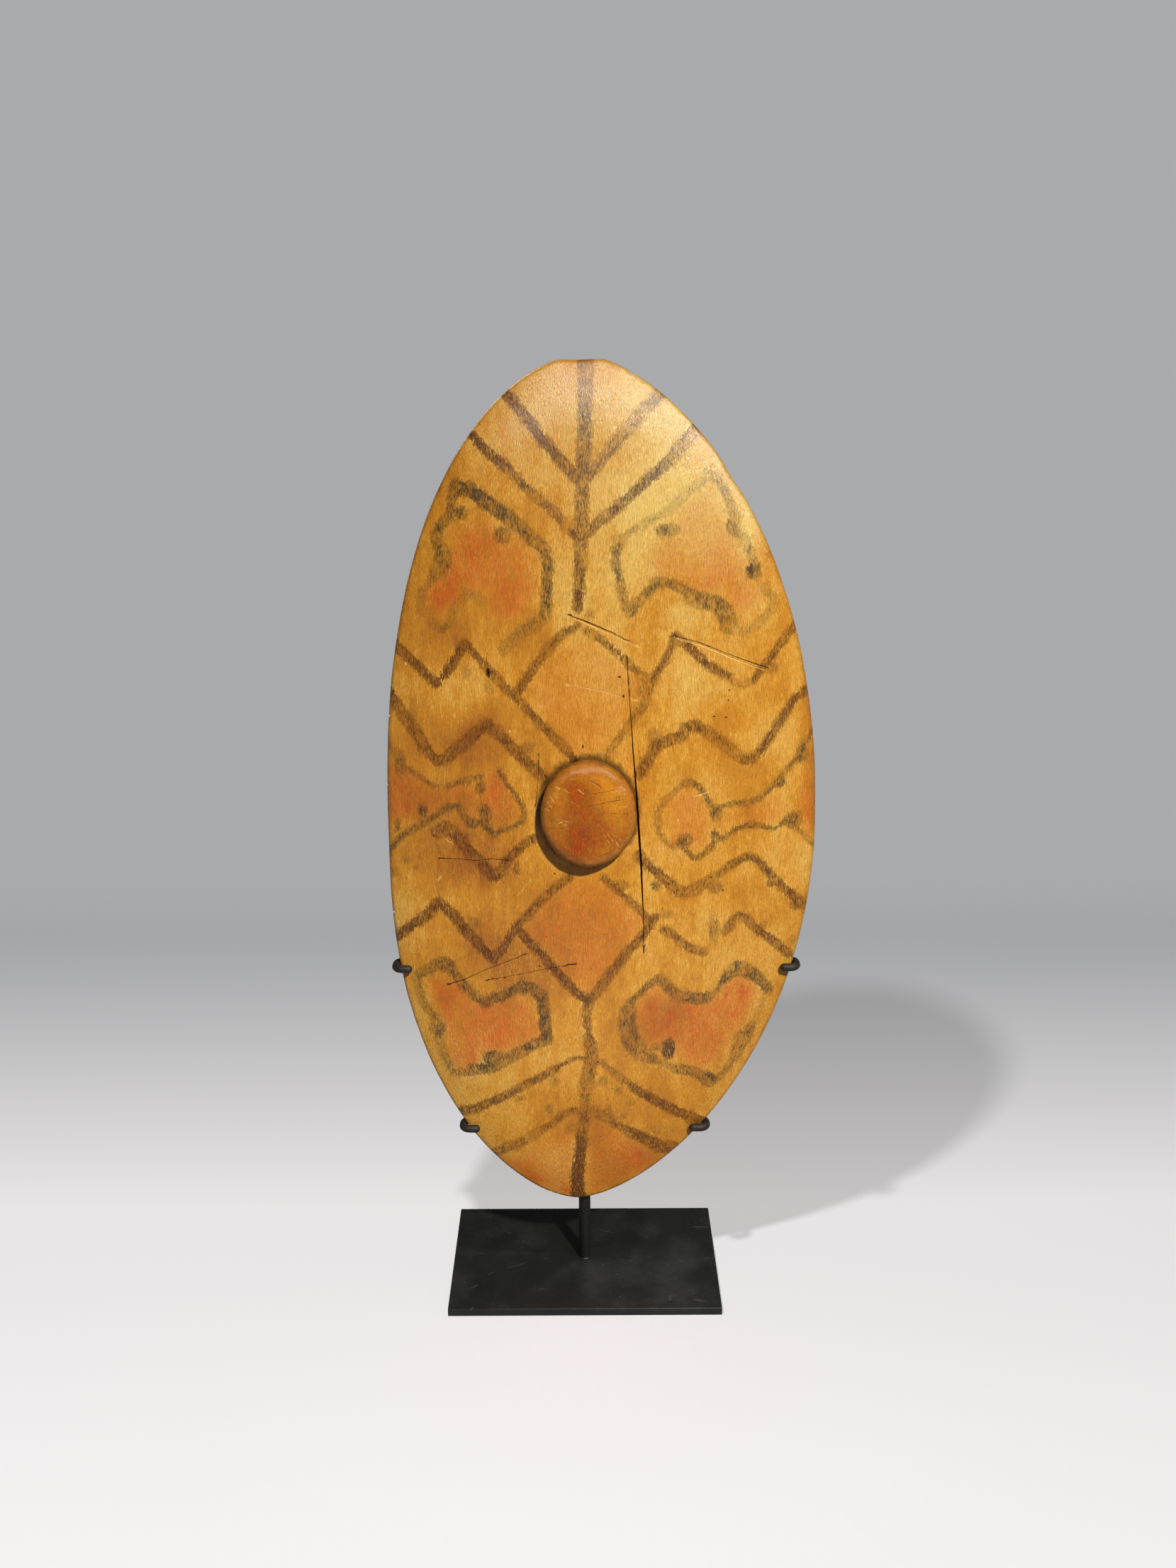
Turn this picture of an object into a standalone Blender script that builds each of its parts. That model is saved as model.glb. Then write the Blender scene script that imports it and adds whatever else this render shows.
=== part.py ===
"""A rainforest shield of fig-root wood, standing on its blackened steel display stand.

Metres, +Z up. The painted front faces -Y. The origin is the centre of the base plate's underside.
The shield is one carved piece: a domed board with a boss on its front and, behind the boss,
a hollow with a hand bar left across it. The stand is a plate, a post and two cradle rods,
whose ends bend round the edge of the board and hold its front with four rounded fingers.
"""

import math

import bmesh
import bpy
from mathutils import Matrix, Vector
from mathutils.bvhtree import BVHTree

# Stand
PLATE_WIDTH = 0.300
PLATE_DEPTH = 0.200
PLATE_THICKNESS = 0.009
PLATE_CHAMFER = 0.0008
POST_RADIUS = 0.0066
POST_TOP = 0.452
POST_ROUNDING = 0.0025
ROD_RADIUS = 0.0043
ROD_NOTCH = 0.0035
ROD_BEND_RADIUS = 0.0078
UPPER_ROD_HEIGHT = 0.3805
LOWER_ROD_HEIGHT = 0.1888
FINGER_REACH = 0.0135
GAP = 0.0003
CLEARING_STEP = 0.0001
TIP_TURNS = (80, 60, 35)

# Shield board
BOARD_HEIGHT = 0.912
BOARD_CENTRE_Z = 0.552
TOP_CUT = 1.01
TIP_X = -0.005
EDGE_THICKNESS = 0.0076
SHOULDER_RISE = 0.0074
SHOULDER_WIDTH = 0.034
DOME_RISE = 0.013
BOARD_SEGMENTS = 96

# Boss and grip
BOSS_X = 0.0054
BOSS_Z = 0.561
BOSS_HALF_WIDTH = 0.049
BOSS_HALF_HEIGHT = 0.0555
BOSS_PROUD = 0.0245
BOSS_ROUNDING = 0.008
BOSS_CROWN = 0.0012
BOSS_UNDERCUT = 0.0010
BOSS_ROOT = 0.006
BOSS_RIM_STEPS = 5
BOSS_SEGMENTS = 48
HOLLOW_WIDTH = 0.084
HOLLOW_HEIGHT = 0.088
HOLLOW_DEPTH = 0.036
HOLLOW_TAPER = 0.012
HOLLOW_CORNER = 0.022
HOLLOW_OVERCUT = 0.004
BAR_WIDTH = 0.022
BAR_DEPTH = 0.016
BAR_ROUNDING = 0.005

# Worked out from those above
ROD_Y = -(POST_RADIUS + ROD_RADIUS - ROD_NOTCH)
BACK_Y = ROD_Y - ROD_RADIUS - GAP
RIM_RADIUS = EDGE_THICKNESS / 2
BOARD_CENTRE_THICKNESS = EDGE_THICKNESS + SHOULDER_RISE + DOME_RISE

# The board's edge is four curves, each a widest half-width, the height share where it is
# widest, and a pair of exponents that say how full it is above or below that height.
SIDES = {
    "left": {"half_width": 0.204, "widest": -0.13, "above": (2.59, 0.560), "below": (2.18, 0.577)},
    "right": {"half_width": 0.2425, "widest": -0.05, "above": (2.15, 0.608), "below": (1.985, 0.640)},
}


def clear_scene():
    for obj in list(bpy.data.objects):
        bpy.data.objects.remove(obj)


def collection_of(name):
    made = bpy.data.collections.new(name)
    bpy.context.scene.collection.children.link(made)
    return made


def material_of(name, colour, roughness, metallic=0.0):
    made = bpy.data.materials.new(name)
    made.use_nodes = True
    shader = made.node_tree.nodes["Principled BSDF"]
    shader.inputs["Base Color"].default_value = (*colour, 1)
    shader.inputs["Roughness"].default_value = roughness
    shader.inputs["Metallic"].default_value = metallic
    return made


def object_of(name, mesh, where, material=None):
    made = bpy.data.objects.new(name, mesh)
    where.objects.link(made)
    if material:
        mesh.materials.append(material)
    return made


def hide_as_cutter(obj):
    obj.hide_render = True
    obj.display_type = "WIRE"


def add_boolean(obj, operation, other):
    modifier = obj.modifiers.new(f"{operation.lower()} {other.name}", "BOOLEAN")
    modifier.operation = operation
    modifier.solver = "EXACT"
    modifier.object = other


def shade_round(mesh, angle=40):
    mesh.shade_smooth()
    mesh.set_sharp_from_angle(angle=math.radians(angle))


def block_mesh(name, width, depth, height):
    """A box centred on its own origin, as a bmesh with its mesh still to be written."""
    mesh = bpy.data.meshes.new(name)
    bm = bmesh.new()
    bmesh.ops.create_cube(bm, size=1, matrix=Matrix.Diagonal((width, depth, height, 1)))
    return mesh, bm


def bevel_edges(bm, edges, width, segments):
    bmesh.ops.bevel(
        bm, geom=edges, offset=width, offset_type="OFFSET", segments=segments, profile=0.5, affect="EDGES"
    )


def finish_bmesh(bm, mesh):
    bm.to_mesh(mesh)
    bm.free()
    return mesh


# ---- the shield ----


def half_width(side, share):
    """How far the edge stands from the middle line at this share of the half-height, -1 to TOP_CUT."""
    form = SIDES[side]
    if share > form["widest"]:
        fall = (share - form["widest"]) / (TOP_CUT - form["widest"])
        power, fullness = form["above"]
    else:
        fall = (form["widest"] - share) / (1 + form["widest"])
        power, fullness = form["below"]
    return form["half_width"] * max(0.0, 1 - min(fall, 1.0) ** power) ** fullness


def edge_point(angle):
    """The board's edge (x, z) at an angle, 0 to the right and a quarter turn at the top, which is cut flat."""
    share = math.sin(angle)
    if share > 0:
        share *= TOP_CUT
    right = math.cos(angle) >= 0
    x = half_width("right" if right else "left", share)
    lean = TIP_X * max(0.0, -share) ** 6
    return (x if right else -x) + lean, BOARD_CENTRE_Z + BOARD_HEIGHT / 2 * min(share, 1.0)


def front_thickness(share, inset):
    """The board's thickness this share of the way from its middle to its edge, inset from the edge."""
    shoulder = SHOULDER_RISE * (1 - math.exp(-inset / SHOULDER_WIDTH))
    return EDGE_THICKNESS + shoulder + DOME_RISE * (1 - share * share)


def board_rings():
    """Each ring from the front's middle to the back's: ("face", share, front?) or ("rim", turn)."""
    front = [("face", share, True) for share in (0.16, 0.32, 0.48, 0.62, 0.74, 0.83, 0.90, 0.95)]
    rim = [("rim", math.radians(turn)) for turn in (90, 60, 30, 0, -30, -60, -90)]
    back = [("face", share, False) for share in (0.90, 0.70, 0.40)]
    return front + rim + back


def ring_point(ring, angle):
    edge_x, edge_z = edge_point(angle)
    reach_x, reach_z = edge_x - BOSS_X, edge_z - BOSS_Z
    reach = math.hypot(reach_x, reach_z)
    if ring[0] == "rim":
        share = 1 - RIM_RADIUS * (1 - math.cos(ring[1])) / reach
        y = BACK_Y - RIM_RADIUS * (1 + math.sin(ring[1]))
    else:
        share = ring[1]
        y = BACK_Y
        if ring[2]:
            y -= front_thickness(share, reach * (1 - share) - RIM_RADIUS)
    return BOSS_X + reach_x * share, y, BOSS_Z + reach_z * share


def make_board(where, wood):
    """A sphere with its poles on the front and back, its rings moved to the board's own sections."""
    rings = board_rings()
    mesh = bpy.data.meshes.new("shield")
    bm = bmesh.new()
    bmesh.ops.create_uvsphere(bm, u_segments=BOARD_SEGMENTS, v_segments=len(rings) + 1, radius=1)
    for vert in bm.verts:
        row = round(math.acos(max(-1.0, min(1.0, vert.co.z))) / math.pi * (len(rings) + 1))
        if row == 0:
            vert.co = (BOSS_X, BACK_Y - BOARD_CENTRE_THICKNESS, BOSS_Z)
        elif row == len(rings) + 1:
            vert.co = (BOSS_X, BACK_Y, BOSS_Z)
        else:
            vert.co = ring_point(rings[row - 1], math.atan2(vert.co.y, vert.co.x))
    bmesh.ops.recalc_face_normals(bm, faces=bm.faces)
    finish_bmesh(bm, mesh)
    shade_round(mesh)
    return object_of("shield", mesh, where, wood)


def boss_profile():
    """(radius, rise) from the crown of the boss out over its rounded rim and down into the board."""
    profile = [(0.0, BOSS_PROUD), (BOSS_HALF_HEIGHT / 2, BOSS_PROUD - BOSS_CROWN / 3)]
    for step in range(BOSS_RIM_STEPS + 1):
        turn = math.radians(90 * step / BOSS_RIM_STEPS)
        radius = BOSS_HALF_HEIGHT - BOSS_ROUNDING * (1 - math.sin(turn))
        rise = BOSS_PROUD - BOSS_CROWN - BOSS_ROUNDING * (1 - math.cos(turn))
        profile.append((radius, rise))
    foot_radius = BOSS_HALF_HEIGHT - BOSS_UNDERCUT
    return profile + [(foot_radius, 0.0), (foot_radius, -BOSS_ROOT), (0.0, -BOSS_ROOT)]


def make_boss(where, wood):
    """A turned disc with a rounded rim, pressed to an oval, its root sunk in the board."""
    mesh = bpy.data.meshes.new("boss_form")
    bm = bmesh.new()
    verts = [bm.verts.new((radius, 0, rise)) for radius, rise in boss_profile()]
    for pair in zip(verts, verts[1:]):
        bm.edges.new(pair)
    boss = object_of("boss_form", finish_bmesh(bm, mesh), where, wood)
    turned = boss.modifiers.new("turned", "SCREW")
    turned.steps = turned.render_steps = BOSS_SEGMENTS
    turned.use_merge_vertices = True
    turned.merge_threshold = 0.00001
    boss.location = (BOSS_X, BACK_Y - BOARD_CENTRE_THICKNESS, BOSS_Z)
    boss.rotation_euler.x = math.radians(90)
    boss.scale.x = BOSS_HALF_WIDTH / BOSS_HALF_HEIGHT
    hide_as_cutter(boss)
    return boss


def make_grip_hollow(where):
    """The space cut into the back: a tapering pocket with round corners, less the bar across it."""
    mesh, bm = block_mesh("grip_hollow", HOLLOW_WIDTH, HOLLOW_DEPTH + HOLLOW_OVERCUT, HOLLOW_HEIGHT)
    corners = [e for e in bm.edges if abs((e.verts[0].co - e.verts[1].co).y) > HOLLOW_DEPTH / 2]
    bevel_edges(bm, corners, HOLLOW_CORNER, 5)
    for vert in bm.verts:
        if vert.co.y < 0:
            vert.co.x *= 1 - 2 * HOLLOW_TAPER / HOLLOW_WIDTH
            vert.co.z *= 1 - 2 * HOLLOW_TAPER / HOLLOW_HEIGHT
    bmesh.ops.translate(bm, verts=bm.verts, vec=(BOSS_X, BACK_Y + (HOLLOW_OVERCUT - HOLLOW_DEPTH) / 2, BOSS_Z))
    hollow = object_of("grip_hollow", finish_bmesh(bm, mesh), where)

    mesh, bm = block_mesh("hand_bar", BAR_WIDTH, 2 * BAR_DEPTH, HOLLOW_HEIGHT + 4 * HOLLOW_OVERCUT)
    inner = [e for e in bm.edges if all(v.co.y < 0 for v in e.verts) and e.verts[0].co.x == e.verts[1].co.x]
    bevel_edges(bm, inner, BAR_ROUNDING, 3)
    bmesh.ops.translate(bm, verts=bm.verts, vec=(BOSS_X, BACK_Y, BOSS_Z))
    bar = object_of("hand_bar", finish_bmesh(bm, mesh), where)

    add_boolean(hollow, "DIFFERENCE", bar)
    for cutter in (hollow, bar):
        hide_as_cutter(cutter)
    return hollow


def make_shield(parts, cutters, wood):
    board = make_board(parts, wood)
    add_boolean(board, "UNION", make_boss(cutters, wood))
    add_boolean(board, "DIFFERENCE", make_grip_hollow(cutters))
    return board


# ---- the stand ----


def make_plate(parts, steel):
    mesh, bm = block_mesh("base_plate", PLATE_WIDTH, PLATE_DEPTH, PLATE_THICKNESS)
    top = [e for e in bm.edges if all(v.co.z > 0 for v in e.verts)]
    bevel_edges(bm, top, PLATE_CHAMFER, 1)
    plate = object_of("base_plate", finish_bmesh(bm, mesh), parts, steel)
    plate.location.z = PLATE_THICKNESS / 2


def make_post(parts, cutters, steel):
    """A round rod on the plate, domed at the top, with a notch where each cradle rod is brazed in."""
    foot = PLATE_THICKNESS + GAP
    mesh = bpy.data.meshes.new("post")
    bm = bmesh.new()
    bmesh.ops.create_cone(
        bm, cap_ends=True, segments=24, radius1=POST_RADIUS, radius2=POST_RADIUS, depth=POST_TOP - foot
    )
    top_edge = [e for e in bm.edges if all(v.co.z > 0 for v in e.verts)]
    bevel_edges(bm, top_edge, POST_ROUNDING, 3)
    post = object_of("post", finish_bmesh(bm, mesh), parts, steel)
    shade_round(mesh)
    post.location.z = (POST_TOP + foot) / 2
    for name, height in (("upper_notch", UPPER_ROD_HEIGHT), ("lower_notch", LOWER_ROD_HEIGHT)):
        notch_mesh = bpy.data.meshes.new(name)
        bm = bmesh.new()
        bmesh.ops.create_cone(
            bm,
            cap_ends=True,
            segments=16,
            radius1=ROD_RADIUS + GAP,
            radius2=ROD_RADIUS + GAP,
            depth=4 * POST_RADIUS,
            matrix=Matrix.Rotation(math.radians(90), 4, "Y"),
        )
        notch = object_of(name, finish_bmesh(bm, notch_mesh), cutters)
        notch.location = (0, ROD_Y, height)
        hide_as_cutter(notch)
        add_boolean(post, "DIFFERENCE", notch)


def edge_at_height(height, right):
    """The board's edge x at a height on the right or the left, found by halving the angle."""
    low, high = -math.pi / 2, math.pi / 2
    for _ in range(40):
        middle = (low + high) / 2
        angle = middle if right else math.pi - middle
        if edge_point(angle)[1] < height:
            low = middle
        else:
            high = middle
    return edge_point(angle)[0]


def clear_of_board(tree, start, run, move):
    """The start point moved on until a rod of this run, from it, is a gap clear of the board."""
    stops = [run * (stop / 12) for stop in range(13)]
    while any(tree.find_nearest(start + stop)[3] < ROD_RADIUS + GAP for stop in stops):
        start = start + move * CLEARING_STEP
    return start


def rounded_corners(points, radius, steps):
    """The same path with each inner corner turned into an arc of this radius."""
    path = [points[0]]
    for before, corner, after in zip(points, points[1:], points[2:]):
        into = (corner - before).normalized()
        out = (after - corner).normalized()
        half_turn = into.angle(out) / 2
        cut = radius * math.tan(half_turn)
        start = corner - into * cut
        centre = start + (out - into * into.dot(out)).normalized() * radius
        for step in range(steps + 1):
            turn = 2 * half_turn * step / steps
            path.append(centre + (start - centre) * math.cos(turn) + into * radius * math.sin(turn))
    return path + [points[-1]]


def hook_corners(tree, height, right):
    """One end of a cradle rod: finger tip, front corner and back corner, each clear of the board."""
    out = Vector((1 if right else -1, 0, 0))
    edge_x = edge_at_height(height, right)
    depth = Vector((0, EDGE_THICKNESS + SHOULDER_RISE, 0))
    back = clear_of_board(tree, Vector((edge_x, ROD_Y, height)) + out * ROD_RADIUS, -depth, out)
    tip = Vector((edge_x, BACK_Y - EDGE_THICKNESS, height)) - out * (FINGER_REACH - ROD_RADIUS)
    tip = clear_of_board(tree, tip - out * ROD_RADIUS, out * FINGER_REACH, Vector((0, -1, 0)))
    tip += out * ROD_RADIUS
    return [tip, Vector((back.x, tip.y, height)), back]


def make_cradle_rod(name, height, tree, parts, steel):
    """One rod from finger to finger: across the front's edge, back round the side and behind the board."""
    corners = hook_corners(tree, height, False) + hook_corners(tree, height, True)[::-1]
    path = rounded_corners(corners, ROD_BEND_RADIUS, 4)

    curve = bpy.data.curves.new(name, "CURVE")
    curve.dimensions = "3D"
    curve.bevel_depth = ROD_RADIUS
    curve.bevel_resolution = 4
    curve.use_fill_caps = True
    tips = tip_profile(path)
    spline = curve.splines.new("POLY")
    spline.points.add(len(tips) - 1)
    for point, (place, radius) in zip(spline.points, tips):
        point.co = (*place, 1)
        point.radius = radius
    guide = bpy.data.objects.new(name + "_guide", curve)
    parts.objects.link(guide)
    bpy.context.view_layer.update()
    mesh = bpy.data.meshes.new_from_object(guide.evaluated_get(bpy.context.evaluated_depsgraph_get()))
    bpy.data.objects.remove(guide)
    bm = bmesh.new()
    bm.from_mesh(mesh)
    bmesh.ops.remove_doubles(bm, verts=bm.verts, dist=1e-6)
    bmesh.ops.recalc_face_normals(bm, faces=bm.faces)
    finish_bmesh(bm, mesh)
    shade_round(mesh)
    object_of(name, mesh, parts, steel)


def tip_profile(path):
    """(place, radius share) along the path, each end rounded like a finger tip."""
    rounding = [(math.sin(math.radians(turn)), math.cos(math.radians(turn))) for turn in TIP_TURNS]
    ends = []
    for end, inner in ((path[0], path[1]), (path[-1], path[-2])):
        out = (end - inner).normalized()
        ends.append([(end + out * ROD_RADIUS * ahead, radius) for ahead, radius in rounding])
    return ends[0] + [(place, 1.0) for place in path] + ends[1][::-1]


def main():
    clear_scene()
    parts = collection_of("rainforest_shield")
    cutters = collection_of("cutters")
    wood = material_of("painted_wood", (0.58, 0.33, 0.10), 0.5)
    steel = material_of("blackened_steel", (0.012, 0.013, 0.012), 0.45, 0.3)
    board = make_shield(parts, cutters, wood)
    make_plate(parts, steel)
    make_post(parts, cutters, steel)
    surface = board.data
    tree = BVHTree.FromPolygons([v.co for v in surface.vertices], [f.vertices for f in surface.polygons])
    make_cradle_rod("upper_cradle_rod", UPPER_ROD_HEIGHT, tree, parts, steel)
    make_cradle_rod("lower_cradle_rod", LOWER_ROD_HEIGHT, tree, parts, steel)


main()
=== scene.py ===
"""A painted rainforest shield on its blackened steel stand: the finished look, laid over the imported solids.

The shield is carved again in a finer mesh, with its cracks, cuts, chips and worn boss, and painted in yellow
ochre, red ochre, umber brown and charcoal. Lengths are metres; places on the shield's face are (x, z) in
millimetres, x from the stand's middle line and z up from the surface that the stand rests on.
"""

import math
from functools import reduce

import bmesh
import bpy
import numpy as np
from bpy.props import FloatProperty, FloatVectorProperty, IntProperty, PointerProperty
from mathutils import Matrix, Vector, noise
from mathutils.bvhtree import BVHTree


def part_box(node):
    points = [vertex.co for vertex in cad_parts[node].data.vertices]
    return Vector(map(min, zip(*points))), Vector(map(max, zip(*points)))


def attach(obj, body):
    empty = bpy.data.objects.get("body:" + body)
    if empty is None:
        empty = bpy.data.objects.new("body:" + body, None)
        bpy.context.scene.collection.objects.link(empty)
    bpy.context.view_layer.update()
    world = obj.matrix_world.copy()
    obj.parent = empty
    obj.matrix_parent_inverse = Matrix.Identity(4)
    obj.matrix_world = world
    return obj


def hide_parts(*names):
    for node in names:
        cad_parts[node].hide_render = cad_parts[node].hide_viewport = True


bl_info = {
    "name": "Rainforest Shield",
    "version": (1, 0, 0),
    "blender": (4, 5, 0),
    "location": "3D View > Sidebar > Shield",
    "description": "A carved and painted rainforest shield on a steel cradle stand",
    "category": "Add Mesh",
}

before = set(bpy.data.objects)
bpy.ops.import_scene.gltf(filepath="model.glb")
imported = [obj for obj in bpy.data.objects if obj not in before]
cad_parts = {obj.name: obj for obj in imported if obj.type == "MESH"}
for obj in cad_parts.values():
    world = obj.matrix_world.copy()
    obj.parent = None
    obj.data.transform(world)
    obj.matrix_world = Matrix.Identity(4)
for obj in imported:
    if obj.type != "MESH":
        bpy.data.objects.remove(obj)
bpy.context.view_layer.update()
MM = 0.001

# ---- the board and boss, as in the solids ----

BOARD_LOW, BOARD_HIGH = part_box("shield")
BOARD_CENTRE_Z = (BOARD_LOW.z + BOARD_HIGH.z) / 2
BOARD_HALF_HEIGHT = (BOARD_HIGH.z - BOARD_LOW.z) / 2
BACK_Y = BOARD_HIGH.y
TOP_CUT = 1.01
TIP_X = -0.005
TIP_LEAN_POWER = 6
EDGE_THICKNESS = 0.0076
SHOULDER_RISE = 0.0074
SHOULDER_WIDTH = 0.034
DOME_RISE = 0.013
BOARD_CENTRE_THICKNESS = EDGE_THICKNESS + SHOULDER_RISE + DOME_RISE
RIM_RADIUS = EDGE_THICKNESS / 2
SIDES = {
    "left": {"half_width": 0.204, "widest": -0.13, "above": (2.59, 0.560), "below": (2.18, 0.577)},
    "right": {"half_width": 0.2425, "widest": -0.05, "above": (2.15, 0.608), "below": (1.985, 0.640)},
}
BOSS_X = 0.0054
BOSS_Z = 0.561
BOSS_HALF_WIDTH = 0.049
BOSS_HALF_HEIGHT = 0.0555
BOSS_PROUD = BACK_Y - BOARD_CENTRE_THICKNESS - BOARD_LOW.y
BOSS_ROUNDING = 0.0085
BOSS_CROWN = 0.0016
BOSS_ROOT = 0.006
BOSS_FOOT_INSET = 0.0012
BOSS_SKIRT = ((0.0004, 0.007), (0.0, 0.002))  # (out, rise) of the last points of its side
HOLLOW_WIDTH = 0.084
HOLLOW_HEIGHT = 0.088
HOLLOW_DEPTH = 0.036
HOLLOW_TAPER = 0.012
HOLLOW_CORNER = 0.022
HOLLOW_MOUTH = 0.004
HOLLOW_LIP = 0.0012
HOLLOW_FLARE = 1.09
HOLLOW_FLOOR_ROUNDING = 0.006
BAR_WIDTH = 0.022
BAR_DEPTH = 0.016
BAR_OVERRUN = 0.016
BAR_ROUNDING = 0.0065
BAR_WAIST = 0.16

# ---- fineness of the carved mesh ----

GRID_ACROSS = 84
GRID_UP = 168
RIM_STEPS = 6
BOSS_TURNS = 160
BOSS_RINGS = 24
BOSS_ROUNDING_STEPS = 8
MERGE_DISTANCE = 1e-5
CUT_STATION = 4.0  # millimetres between the stations of a cut

# ---- the hand-cut surface: (share of the setting, size in metres, seed) of the waves in it ----

EDGE_WAVES = ((0.7, 0.055, 3), (0.4, 0.017, 8))
FACE_WAVES = ((0.7, 0.085, 1), (0.35, 0.03, 5), (0.12, 0.011, 7))
BOSS_SIDE_WAVES = ((1.0, 0.03, 4), (0.4, 0.011, 6))
BOSS_FACE_WAVES = ((0.8, 0.028, 9), (0.45, 0.009, 2), (0.2, 0.005, 7))
EDGE_WEAR_POWER = 6  # how quickly the edge's wear fades inwards
FACE_FADE = 0.012
BACK_FADE = 0.015
ADZE_WIDTH = 0.026
ADZE_LENGTH = 0.044
ADZE_RIDGE = 1.3

# ---- the cuts ----

CUT_ENDS = 0.25  # share of its width and depth that a cut still has at its ends
CUT_TAPER = 3.0
CUT_LIFT = (0.3, 0.8)  # how far its cutter stands out of the surface, for the shallowest and at most
CUT_SWAY = 0.25
CUT_SWAY_PITCH = 0.21
CUT_SWAY_SEED = 3.1
PIT_ROUGHNESS = 0.3
PIT_WAVES = ((0, 700), (2, 900))  # (axis, waves a metre)
NICK_ROUGHNESS = 0.5
NICK_WAVES = ((0, 500),)
NICK_LENGTH = 0.014
NICK_TILT = 1.4
NICK_NARROWS = 0.5
PROBE_Y = -0.2  # well in front of the board

# ---- the painting: (first width, last width, strength, path) for a stroke, in millimetres ----

PAINT_REACH = 40.0  # distances to a painted edge are kept up to this many millimetres
PAINT_CORE = 3.0  # how deep in a stroke its own strength stops gaining on a neighbour's
PAINT_BLEND = 1.5

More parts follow.
